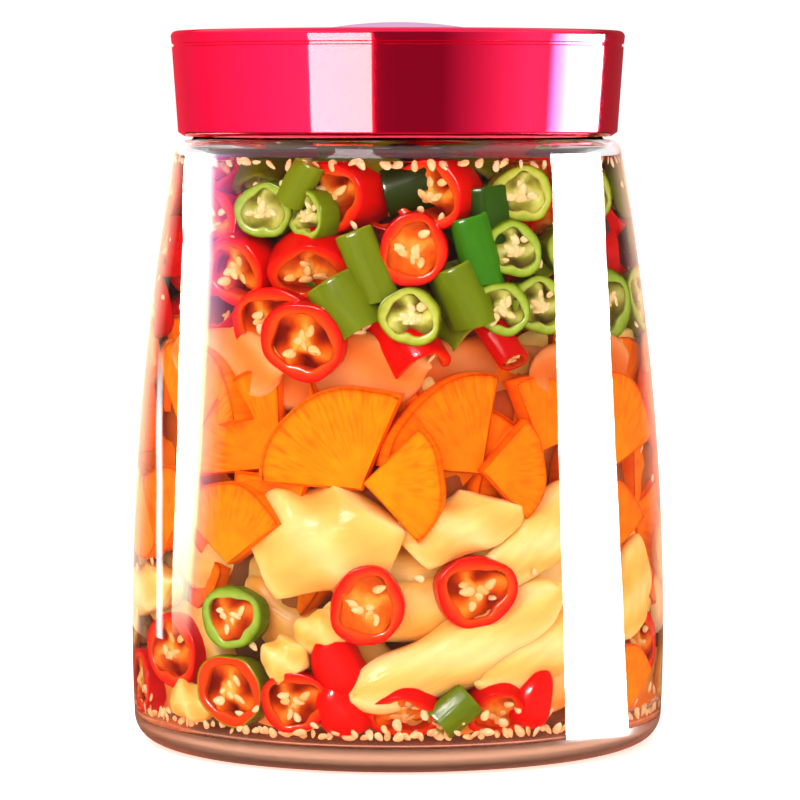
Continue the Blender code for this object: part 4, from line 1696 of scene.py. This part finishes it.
    def place_front(self, chance: random.Random) -> None:
        """Place what leans against the front of the glass.

        Args:
            chance: the seeded source of the rings' variants and seeds.
        """
        for skin, bearing, height, diameter, length, turn, nod, back in self.FRONT_RINGS:
            facing = self.facing(turn=turn, nod=nod)
            self.add_ring(skin, bearing, height, diameter, length, facing, back, chance, 6)
        on_side = Matrix.Rotation(math.radians(90), 4, 'X')
        for skin, bearing, height, width, length, roll, nod, back, shade in self.FRONT_STUBS:
            facing = self.facing(nod=nod, roll=roll) @ on_side
            self.add_ring(skin, bearing, height, width, length, facing, back, chance, 3, shade)
        for bearing, height, width, length, roll, back in self.FRONT_TIPS:
            across = width * MM / self.ring.diameter
            size = Vector((across, length * MM / self.ring.length, across))
            facing = self.facing(roll=roll) @ on_side
            place, turn = self.lean(self.tip_form, size, facing, bearing, height * MM, back * MM)
            self.tips.append(Placing(place, turn, size, 0, self.tip_shade))
        for carrot in self.FRONT_CARROTS:
            self.add_carrot(*carrot)
        for pale in self.FRONT_PALE:
            self.add_pale(*pale)

    def add_carrot(self, bearing: float, height: float, radius: float, middle: float, wedge: float,
                   back: float, shade: float) -> None:
        """Place one carrot slice by its point.

        Args:
            bearing: the direction of its point from the front, in degrees.
            height: the height of its point, in millimetres.
            radius: its radius in millimetres.
            middle: the direction of its middle, in degrees from the right.
            wedge: how wide it is cut, in degrees.
            back: how far behind the wall it lies, in millimetres.
            shade: its place between its darkest and its palest tone.
        """
        spreads = self.carrot.spreads
        nearest = min(range(len(spreads)), key=lambda index: abs(spreads[index] - wedge))
        across = radius * MM / self.carrot.radius
        size = Vector((across, 1.0, across))
        facing = self.facing(roll=-middle)
        place, turn = self.lean(
            self.carrot_shapes[nearest], size, facing, bearing, height * MM, back * MM)
        self.carrots.append(Placing(place, turn, size, nearest, shade))

    def add_pale(self, kind: PaleKind, bearing: float, height: float, length: float, width: float,
                 thickness: float, roll: float, back: float, shade: float) -> None:
        """Place one pale piece by its middle.

        Args:
            kind: which sort it is.
            bearing: its direction from the front, in degrees.
            height: its height in millimetres.
            length: its length in millimetres.
            width: its width in millimetres.
            thickness: its thickness in millimetres.
            roll: how far it is rolled on the glass, in degrees.
            back: how far behind the wall it lies, in millimetres.
            shade: its place between its darkest and its palest tone.
        """
        size = Vector((
            length * MM / self.pale.length, thickness * MM / self.pale.thickness,
            width * MM / self.pale.width))
        facing = self.facing(roll=roll)
        place, turn = self.lean(
            self.pale_shapes[kind.value], size, facing, bearing, height * MM, back * MM)
        placing = Placing(place, turn, size, kind.value, shade)
        (self.slices if kind is PaleKind.SLICE else self.pales).append(placing)

    def place_back(self, chance: random.Random, inner: random.Random) -> None:
        """Place the rows at the back by the solid's own rule and draws.

        Args:
            chance: the seeded source that the solid's rule uses.
            inner: the source for what the solid doesn't have.
        """
        span = (self.row_start, self.row_end)
        for number, (height, green_share) in enumerate(self.ring_rows):
            for bearing in self.row_bearings(self.ring_spacing, height, number % 2, *span):
                skin = Skin.GREEN if chance.random() < green_share else Skin.RED
                low, high = (12.0, 14.0) if skin is Skin.GREEN else (13.6, 16.0)
                diameter = chance.uniform(low, high)
                bearing += chance.uniform(-1.5, 1.5)
                place = height + chance.uniform(-1.6, 1.6)
                length = chance.uniform(5.5, 8.5)
                facing = self.facing(turn=chance.uniform(-26, 26), nod=chance.uniform(-20, 24))
                back = chance.choice((0, 0, 0.8))
                shown = Skin.GREEN if bearing < self.green_until else skin
                self.add_ring(shown, bearing, place, diameter, length, facing, back, inner)
        for number, height in enumerate(self.low_ring_rows):
            for bearing in self.row_bearings(self.low_ring_spacing, height, number % 2, *span):
                place = height + chance.uniform(-1.0, 1.0)
                diameter = chance.uniform(14.0, 15.6)
                facing = self.facing(turn=chance.uniform(-24, 24), nod=chance.uniform(-6, 10))
                self.add_ring(Skin.RED, bearing, place, diameter, 6.5, facing, 0, inner)
        for height, middle in self.carrot_rows:
            for bearing in self.row_bearings(self.carrot_spacing, height, middle > 180, *span):
                self.add_carrot(
                    bearing, height + chance.uniform(-1.5, 1.5), chance.uniform(15.0, 21.0),
                    middle + chance.uniform(-16, 30), chance.uniform(78, 112),
                    chance.choice((0, 0.8, 1.6)), inner.random())
        for bearing in self.row_bearings(self.pale_slice_spacing, self.pale_slice_height, 0, *span):
            self.add_pale(
                PaleKind.SLICE, bearing, self.pale_slice_height + chance.uniform(-1, 1),
                chance.uniform(28, 33), 14.5, 7.0, chance.uniform(-6, 6), 2.2, inner.random())
        for number, height in enumerate(self.finger_rows):
            for bearing in self.row_bearings(self.finger_spacing, height, number % 2, *span):
                place = height + chance.uniform(-1, 1)
                length = chance.uniform(37, 44)
                width = chance.uniform(12, 14.5)
                thickness = chance.uniform(8.5, 10)
                roll = chance.uniform(-30, -12)
                chance.random()  # The solid's rule draws once more here.
                kind = inner.choice((PaleKind.FINGER, PaleKind.CURVED_FINGER, PaleKind.CHUNK))
                self.add_pale(kind, bearing, place, length, width, thickness, roll, 0.4, inner.random())

    def place_behind(self, chance: random.Random) -> None:
        """Fill the gaps with a second shell of pieces behind the first.

        Args:
            chance: the seeded source of all their draws.
        """
        round_about = (0.0, 360.0)
        for number, height in enumerate(self.inner_ring_rows):
            for bearing in self.row_bearings(self.inner_ring_spacing, height, number % 2, *round_about):
                skin = Skin.GREEN if chance.random() < self.inner_green_share else Skin.RED
                facing = self.facing(turn=chance.uniform(-60, 60), nod=chance.uniform(-60, 60))
                self.add_ring(
                    skin, bearing + chance.uniform(-4, 4), height + chance.uniform(-2, 2),
                    chance.uniform(11, 15), chance.uniform(6, 12), facing,
                    chance.uniform(6.0, 9.0), chance, 4)
        for height, middle in self.inner_carrot_rows:
            for bearing in self.row_bearings(self.inner_carrot_spacing, height, 0, *round_about):
                self.add_carrot(
                    bearing, height, chance.uniform(15, 20), middle + chance.uniform(-60, 60),
                    self.inner_carrot_wedge, chance.uniform(6.0, 7.5), chance.random())
        for number, height in enumerate(self.inner_pale_rows):
            for bearing in self.row_bearings(self.inner_pale_spacing, height, number % 2, *round_about):
                kind = chance.choice((PaleKind.FINGER, PaleKind.CHUNK, PaleKind.CURVED_FINGER))
                self.add_pale(
                    kind, bearing, height, chance.uniform(30, 42), chance.uniform(12, 15), 9.0,
                    chance.uniform(-40, 40), chance.uniform(6.5, 8.0), chance.random())

    def scatter_seeds(self, chance: random.Random) -> None:
        """Scatter loose seeds along the floor, under the shoulder and between pieces.

        Args:
            chance: the seeded source of their places.
        """
        for count, low, high, back in self.SEED_ZONES:
            for number in range(count):
                bearing = 360.0 * (number + chance.uniform(-0.4, 0.4)) / count
                height = chance.uniform(low, high)
                facing = self.facing(
                    turn=chance.uniform(-40, 40), nod=chance.uniform(-40, 40),
                    roll=chance.uniform(0, 360))
                grow = chance.uniform(0.60, 0.95)
                size = Vector((grow, grow, grow))
                middle, turn = self.lean(
                    self.seed_shapes[0], size, facing, bearing, height * MM,
                    chance.uniform(0, 1.5) * MM + back * MM)
                variant = chance.randrange(self.kernel.variants)
                self.seeds.append(Placing(middle, turn, size, variant, chance.uniform(0.5, 1.0)))

    def build_core(self) -> Thing:
        """Make the uneven core behind the pieces, with its low crown.

        Returns:
            The core.
        """
        low, high = self.bottom, self.core_top
        crown_shares = (0.8, 0.55, 0.3, 0.05)
        points = []
        for row in range(self.core_rows):
            share = row / (self.core_rows - 1)
            height = low + (high - low) * share
            ends = min(1.0, 6.0 * share + 0.86, 5.0 * (1.0 - share) + 0.6)
            for angle in angles(self.core_columns):
                lump = 1.4 * MM * math.sin(7 * angle + 5 * share) * math.sin(19 * share + 3 * angle)
                lump += 0.8 * MM * math.sin(17 * angle - 31 * share)
                radius = (self.jar.inner_radius(height) - self.core_inset) * ends + lump
                points.append((radius * math.cos(angle), radius * math.sin(angle), height))
        for share in crown_shares:
            radius = (self.jar.inner_radius(high) - self.core_inset) * 0.6 * share
            for angle in angles(self.core_columns):
                lump = 0.5 * MM * math.sin(5 * angle + 40 * share)
                height = high + self.core_crown * (1.0 - share ** 2) + lump
                points.append((radius * math.cos(angle), radius * math.sin(angle), height))
        faces = capped_faces(self.core_rows + len(crown_shares), self.core_columns)
        return mesh_object("heap_core", points, faces, CoreFinish().build())

    def build(self) -> list[Thing]:
        """Place every piece and make one object of each kind.

        Returns:
            The pieces that shine.
        """
        chance = random.Random(self.seed)
        inner = random.Random(self.seed + 1)
        self.place_front(inner)
        self.place_back(chance, inner)
        self.place_behind(inner)
        self.scatter_seeds(inner)
        core = self.build_core()
        hand_in(core, "pickles", "pickles")
        red, green, mixed, turning = (self.rings[skin] for skin in Skin)
        hearts = [self.ring.heart_shape(number) for number in range(self.ring.variants)]
        kinds = (
            ("red_chilli", red, self.ring_shapes, RED_CHILLI, 0.7, 130.0),
            ("green_chilli", green + mixed, self.ring_shapes, GREEN_CHILLI, 0.7, 130.0),
            ("turning_chilli", turning, self.ring_shapes, TURNING_CHILLI, 0.7, 130.0),
            ("red_chilli_tips", self.tips, [self.tip_form], RED_CHILLI, 0.7, 130.0),
            ("red_chilli_hearts", red + mixed + turning, hearts, RED_HEART, 0.8, 300.0),
            ("green_chilli_hearts", green, hearts, GREEN_HEART, 0.8, 300.0),
            ("carrot_slices", self.carrots, self.carrot_shapes, CARROT, 0.6, 110.0),
            ("pale_roots", self.pales, self.pale_shapes, PALE_ROOT, 1.4, 120.0),
            ("pale_slices", self.slices, self.pale_shapes, PALE_SLICE, 1.2, 60.0),
            ("seeds", self.seeds, self.seed_shapes, SEEDS, 0.2, 300.0),
        )
        glossy = []
        for number, (name, placings, shapes, finish, unevenness, lumps) in enumerate(kinds):
            piece = self.copy_tree.copies(
                name, placings, shapes, finish.build(), unevenness * MM, lumps, number)
            hand_in(piece, "pickles", "pickles")
            if finish in GLOSSY:
                glossy.append(piece)
        return glossy


CHILLI_GRAIN = {"wander": 0.16, "speckle": 0.16, "speckle_scale": 700.0, "stretch": (1.0, 0.3, 1.0)}
RED_CHILLI = VegetableFinish(
    "red chilli",
    screen_stops(
        (0.10, 232, 8, 2), (0.30, 238, 20, 4), (0.48, 246, 40, 7), (0.62, 254, 80, 16),
        (0.85, 230, 66, 14)),
    # The darkest tone, below the random shades, is painted shade for stubs deep in the gaps.
    ((0.0, (0.46, 0.34, 0.36)), (0.12, (0.82, 0.76, 0.76)), (0.9, WHITE)),
    roughness=0.17, shine=0.09, **CHILLI_GRAIN)
GREEN_CHILLI = VegetableFinish(
    "green chilli",
    screen_stops(
        (0.10, 118, 128, 4), (0.30, 146, 150, 8), (0.44, 170, 178, 50), (0.60, 194, 198, 86),
        (0.85, 196, 186, 70)),
    # The tones below the random shades paint shade, darkest at 0, for stubs deep in the gaps.
    ((0.0, (0.10, 0.17, 0.16)), (0.08, (0.14, 0.46, 0.5)), (0.14, (0.62, 0.84, 0.60)), (0.9, WHITE),
     (0.96, (0.20, 0.86, 1.0))),
    roughness=0.25, shine=0.12, **CHILLI_GRAIN)
TURNING_CHILLI = VegetableFinish(
    "turning chilli",
    screen_stops(
        (0.16, 122, 128, 6), (0.24, 190, 150, 20), (0.32, 226, 46, 5), (0.50, 242, 62, 8),
        (0.85, 226, 78, 12)),
    roughness=0.2, shine=0.09, **CHILLI_GRAIN)
# In both middles the darkest stops are met in the hollows and at the back of the heart: painted shade.
RED_HEART = VegetableFinish(
    "red chilli middle",
    screen_stops((0.10, 140, 26, 8), (0.35, 226, 74, 12), (0.60, 250, 112, 20), (0.92, 255, 172, 66)),
    ((0.0, (0.85, 0.72, 0.66)), (0.5, WHITE), (0.9, (1.0, 1.25, 1.2))),
    speckle=0.28, speckle_scale=600.0)
GREEN_HEART = VegetableFinish(
    "green chilli middle",
    screen_stops((0.10, 112, 84, 40), (0.35, 170, 160, 60), (0.60, 206, 204, 90), (0.92, 242, 234, 160)),
    speckle=0.22, speckle_scale=600.0)
CARROT = CarrotFinish()
PALE_ROOT = VegetableFinish(
    "pale root",
    screen_stops((0.15, 250, 186, 92), (0.5, 253, 204, 114), (0.85, 253, 220, 148)),
    ((0.0, (1.0, 0.84, 0.62)), (0.35, (1.03, 0.93, 0.72)), (0.55, (1.0, 0.94, 0.84)),
     (0.7, (1.05, 1.03, 1.0))),
    wander=0.7, speckle=0.12, speckle_scale=420.0, stretch=(0.22, 1.0, 1.0), bump=0.0007,
    roughness=0.3, subsurface=0.35)
PALE_SLICE = VegetableFinish(
    "pale slice",
    screen_stops((0.2, 244, 130, 50), (0.5, 248, 150, 76), (0.8, 252, 172, 104)),
    # Low tones: painted shade on the front slices set low, a random tone on those behind.
    ((0.0, (0.72, 0.52, 0.44)), (0.6, (0.96, 0.88, 0.86)), (1.0, WHITE)),
    speckle=0.1, speckle_scale=200.0, subsurface=0.35)
SEEDS = VegetableFinish(
    "seeds",
    screen_stops((0.3, 252, 214, 150), (0.7, 255, 234, 190)),
    ((0.0, (1.0, 0.66, 0.36)), (0.5, (1.0, 0.86, 0.68)), (1.0, WHITE)),
    speckle=0.2, speckle_scale=1500.0)
GLOSSY = (RED_CHILLI, GREEN_CHILLI, TURNING_CHILLI, PALE_ROOT)


def turn_matrix(turn: Vector) -> Matrix:
    """Return XYZ angles as a matrix."""
    about_x, about_y, about_z = (Matrix.Rotation(turn[axis], 4, "XYZ"[axis]) for axis in range(3))
    return about_z @ about_y @ about_x


def upright(bearing: float, low: float, high: float) -> Profile:
    """Return an upright edge of a card, from the bottom up."""
    return [(bearing, low), (bearing, high)]


@dataclass(frozen=True)
class Card:
    """A curved card round the jar that shows only as a reflection in the glass or the lid.

    Its edges are bearings and heights from the bottom up, as many on the left
    as on the right. A card that lies flat has distances for its heights.
    """

    name: str
    finish: CardFinish
    left: Profile
    right: Profile
    distance: float = 0.2
    flat_at: float = 0.0
    steps: int = 16

    def build(self, lit: Thing) -> None:
        """Make the card.

        Args:
            lit: the only object that mirrors it.
        """
        points = []
        places = []
        rows = len(self.left)
        for row, (left, right) in enumerate(zip(self.left, self.right)):
            for column in range(self.steps + 1):
                share = column / self.steps
                angle = math.radians(left[0] + (right[0] - left[0]) * share)
                reach = left[1] + (right[1] - left[1]) * share
                distance = reach if self.flat_at else self.distance
                height = self.flat_at or reach
                points.append((distance * math.sin(angle), -distance * math.cos(angle), height))
                places.append((share, row / (rows - 1), 0.0))
        across = self.steps + 1
        corners = (0, 1, across + 1, across)
        faces = [
            [row * across + column + corner for corner in corners]
            for row in range(rows - 1) for column in range(self.steps)]
        card = mesh_object(self.name, points, faces, self.finish.build())
        store(card.data, "place", places, 'FLOAT_VECTOR')
        for rays in ("camera", "diffuse", "transmission", "volume_scatter", "shadow"):
            setattr(card, "visible_" + rays, False)
        light_only(card, [lit])


def light_only(light: Thing, lit: list[Thing]) -> None:
    """Let a lamp or a card show in some objects alone.

    Args:
        light: the lamp or the card.
        lit: the objects that it shows in.
    """
    group = bpy.data.collections.new(light.name + " lights")
    for thing in lit:
        group.objects.link(thing)
    light.light_linking.receiver_collection = group


RIGHT_GLOW = CardFinish("right card", 30.0)
LEFT_GLOW = CardFinish(
    "left card", 46.0,
    ((0.0, WHITE), (0.42, WHITE), (0.58, (0.22, 0.11, 0.24)), (0.80, (0.05, 0.02, 0.06)), (1.0, BLACK)),
    ((0.0, BLACK), (0.22, (0.3, 0.3, 0.22)), (0.42, (0.80, 0.96, 0.50)), (0.68, (0.80, 0.96, 0.50)),
     (0.82, grey(0.56)), (1.0, grey(0.56))))
THIN_GLOW = CardFinish(
    "thin left card", 8.0, ((0.0, BLACK), (0.3, WHITE), (0.7, WHITE), (1.0, BLACK)),
    ((0.0, WHITE), (0.8, WHITE), (1.0, BLACK)))
RIM_HEIGHTS = ((0.0, grey(0.6)), (0.5, WHITE), (0.75, (0.9, 0.6, 0.75)), (1.0, (0.9, 0.6, 0.75)))
LEFT_RIM_GLOW = CardFinish(
    "left rim card", 1.8, ((0.0, (1.0, 0.85, 0.62)), (0.7, (1.0, 0.85, 0.62)), (1.0, BLACK)),
    RIM_HEIGHTS)
RIGHT_RIM_GLOW = CardFinish(
    "right rim card", 1.3, ((0.0, BLACK), (0.3, (1.0, 0.62, 0.50)), (1.0, (1.0, 0.62, 0.50))),
    RIM_HEIGHTS)
STRIP_GLOW = CardFinish("lid strip card", 35.0, ((0.0, (0.98, 0.97, 0.29)), (1.0, (1.0, 0.97, 0.26))))
SHINE_GLOW = CardFinish("lid shine card", 40.0, ((0.0, BLACK), (0.35, WHITE), (1.0, WHITE)))
# What the lid mirrors all round, by bearing from the front.
LID_GLOW = CardFinish("lid card", 1.5, tuple(((bearing + 180.0) / 360.0, colour) for bearing, colour in (
    (-179.0, (0.62, 0.002, 0.02)), (-150.0, (0.55, 0.004, 0.03)), (-128.0, (0.52, 0.01, 0.08)),
    (-105.0, (0.68, 0.04, 0.24)), (-60.0, (0.92, 0.50, 0.85)), (-38.0, (0.95, 0.80, 1.0)),
    (-13.0, (0.62, 0.45, 0.60)), (-11.6, (0.06, 0.03, 0.02)), (20.0, (0.06, 0.03, 0.02)),
    (42.0, (0.54, 0.32, 0.42)), (64.0, (0.95, 0.85, 1.05)), (90.0, (0.60, 0.40, 0.50)),
    (115.8, (0.50, 0.20, 0.30)), (117.4, (0.17, 0.005, 0.01)), (150.0, (0.20, 0.003, 0.01)),
    (179.0, (0.26, 0.003, 0.01)))))

GLASS_CARDS = (
    Card(
        "right_card", RIGHT_GLOW,
        [(65.8, 0.0002), (64.6, 0.036), (65.1, 0.067), (67.2, 0.098), (70.8, 0.129), (76.9, 0.160)],
        [(101.0, 0.0002), (98.3, 0.032), (98.2, 0.061), (100.8, 0.090), (106.5, 0.118),
         (117.1, 0.1435)]),
    Card(
        "right_floor_card", RIGHT_GLOW,
        [(47.5, 0.068), (54.8, 0.091), (60.0, 0.121), (63.7, 0.164), (65.8, 0.201)],
        [(67.2, 0.058), (81.9, 0.077), (91.1, 0.105), (96.9, 0.142), (101.0, 0.201)],
        flat_at=0.0004),
    Card(
        "left_card", LEFT_GLOW,
        [(-100.5, 0.004), (-100.5, 0.018), (-99.9, 0.042), (-101.1, 0.066), (-106.8, 0.095),
         (-114.8, 0.119), (-131.0, 0.137)],
        [(-78.0, 0.004), (-76.0, 0.018), (-73.0, 0.042), (-71.0, 0.066), (-69.0, 0.095),
         (-67.0, 0.125), (-70.0, 0.160)]),
    Card(
        "thin_left_card", THIN_GLOW,
        [(-114.2, 0.002), (-114.2, 0.019), (-117.8, 0.047), (-129.2, 0.083)],
        [(-107.0, 0.002), (-106.9, 0.019), (-110.0, 0.047), (-119.4, 0.085)]),
    Card("left_rim_card", LEFT_RIM_GLOW, upright(-176.0, 0.0002, 0.22), upright(-122.0, 0.0002, 0.22)),
    Card("right_rim_card", RIGHT_RIM_GLOW, upright(124.0, 0.0002, 0.22), upright(176.0, 0.0002, 0.22)),
)
LID_CARDS = (
    Card("lid_strip_card", STRIP_GLOW, upright(-40.4, 0.080, 0.150), upright(-11.6, 0.080, 0.150)),
    Card("lid_shine_card", SHINE_GLOW, upright(74.0, 0.080, 0.160), upright(116.5, 0.080, 0.160)),
    Card(
        "lid_card", LID_GLOW, upright(-180.0, 0.075, 0.300), upright(180.0, 0.075, 0.300), steps=96),
)


@dataclass
class Studio:
    """The camera, the floor and the light."""

    focal_pixels: float = 4217.0
    sensor: float = 36.0
    distance: float = 0.856
    eye_height: float = 128.6 * MM
    horizon_row: float = 105.0
    middle_column: float = 397.8
    floor_size: float = 6.0
    floor_gap: float = 0.2 * MM
    seen_white: float = 1.05
    soft_white: float = 1.15
    mirrored_below: Colour = (0.82, 0.36, 0.25)
    mirrored_side: Colour = (0.08, 0.05, 0.045)
    aim: tuple[float, float, float] = (0.0, 0.0, 0.06)

    def build_camera(self) -> None:
        """Set the camera at the photograph's angle."""
        data = bpy.data.cameras.new("view")
        data.sensor_width = self.sensor
        data.lens = self.focal_pixels / IMAGE_SIDE * data.sensor_width
        data.clip_start = 0.01
        data.clip_end = 20.0
        camera = bpy.data.objects.new("view", data)
        camera.location = (0.0, -self.distance, self.eye_height)
        down = math.atan((IMAGE_SIDE / 2 - self.horizon_row) / self.focal_pixels)
        aside = math.atan((self.middle_column - IMAGE_SIDE / 2) / self.focal_pixels)
        camera.rotation_euler = (math.radians(90.0) - down, 0.0, aside)
        bpy.context.scene.collection.objects.link(camera)
        bpy.context.scene.camera = camera

    def build_floor(self) -> None:
        """Lay the floor."""
        half = self.floor_size / 2
        corners = [(-half, -half, 0.0), (half, -half, 0.0), (half, half, 0.0), (-half, half, 0.0)]
        floor = mesh_object("floor", corners, [range(4)], FloorFinish().build())
        floor.location.z = -self.floor_gap
        floor.visible_glossy = False

    def build_world(self) -> None:
        """Surround the scene with white light, and give what mirrors it a darker room."""
        world = bpy.data.worlds.new("white studio")
        bpy.context.scene.world = world
        world.use_nodes = True
        graph = Graph(world.node_tree)
        rays = graph.add("ShaderNodeLightPath").outputs
        mirrored = graph.math('MULTIPLY', rays["Is Glossy Ray"], rays["Is Reflection Ray"])
        upwards = graph.split(graph.add("ShaderNodeTexCoord").outputs["Generated"])[2]
        reflected = graph.ramp(graph.math('MULTIPLY_ADD', upwards, 0.5, 0.5), (
            (0.15, self.mirrored_below), (0.32, self.mirrored_side), (0.70, self.mirrored_side),
            (0.85, WHITE)))
        more = self.soft_white - self.seen_white
        seen = graph.math('MULTIPLY_ADD', rays["Is Diffuse Ray"], more, self.seen_white)
        change = graph.math('SUBTRACT', 1.0, seen)
        graph.dress(
            world.node_tree.nodes["Background"], Color=graph.blend(mirrored, WHITE, reflected),
            Strength=graph.math('MULTIPLY_ADD', mirrored, change, seen))

    def add_lamp(self, name: str, size: float, energy: float,
                 place: tuple[float, float, float]) -> Thing:
        """Add a round lamp that shines on the jar.

        Args:
            name: its name.
            size: its width in metres.
            energy: its power in watts.
            place: where it stands.

        Returns:
            The lamp.
        """
        light = bpy.data.lights.new(name, 'AREA')
        light.shape = 'DISK'
        light.size = size
        light.energy = energy
        lamp = bpy.data.objects.new(name, light)
        lamp.location = place
        lamp.rotation_euler = (Vector(self.aim) - lamp.location).to_track_quat('-Z', 'Y').to_euler()
        bpy.context.scene.collection.objects.link(lamp)
        return lamp

    def build(self) -> None:
        """Make the camera, the floor, the soft light and the settings that clear pieces need."""
        self.build_camera()
        self.build_floor()
        self.build_world()
        self.add_lamp("key", 0.6, 6.0, (-0.45, -0.9, 0.9)).visible_glossy = False
        scene = bpy.context.scene
        scene.view_settings.view_transform = 'Standard'
        for rays, bounces in (
                ("max", 14), ("transmission", 12), ("transparent_max", 16), ("diffuse", 3), ("glossy", 3)):
            setattr(scene.cycles, rays + "_bounces", bounces)

    def build_reflections(self, glass: Thing, lid: Thing,
                          glossy: list[Thing]) -> None:
        """Set the cards, and a small lamp that only draws highlights on wet skins.

        Args:
            glass: the jar's glass.
            lid: the lid.
            glossy: the pieces that the lamp lights.
        """
        for card in GLASS_CARDS:
            card.build(glass)
        for card in LID_CARDS:
            card.build(lid)
        lamp = self.add_lamp("highlight", 0.14, 46.0, (-0.30, -0.62, 0.42))
        lamp.visible_diffuse = False
        lamp.visible_transmission = False
        light_only(lamp, glossy)


def main() -> None:
    """Build the studio and dress the jar."""
    logging.basicConfig(level=logging.INFO, format="%(name)s: %(message)s")
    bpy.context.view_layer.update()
    studio = Studio()
    studio.build()
    jar = JarGlass()
    glass = jar.build()
    lid = Lid().build()
    LidButton().build()
    studio.build_reflections(glass, lid, PickleHeap(jar).build())


if __name__ == "__main__":
    main()
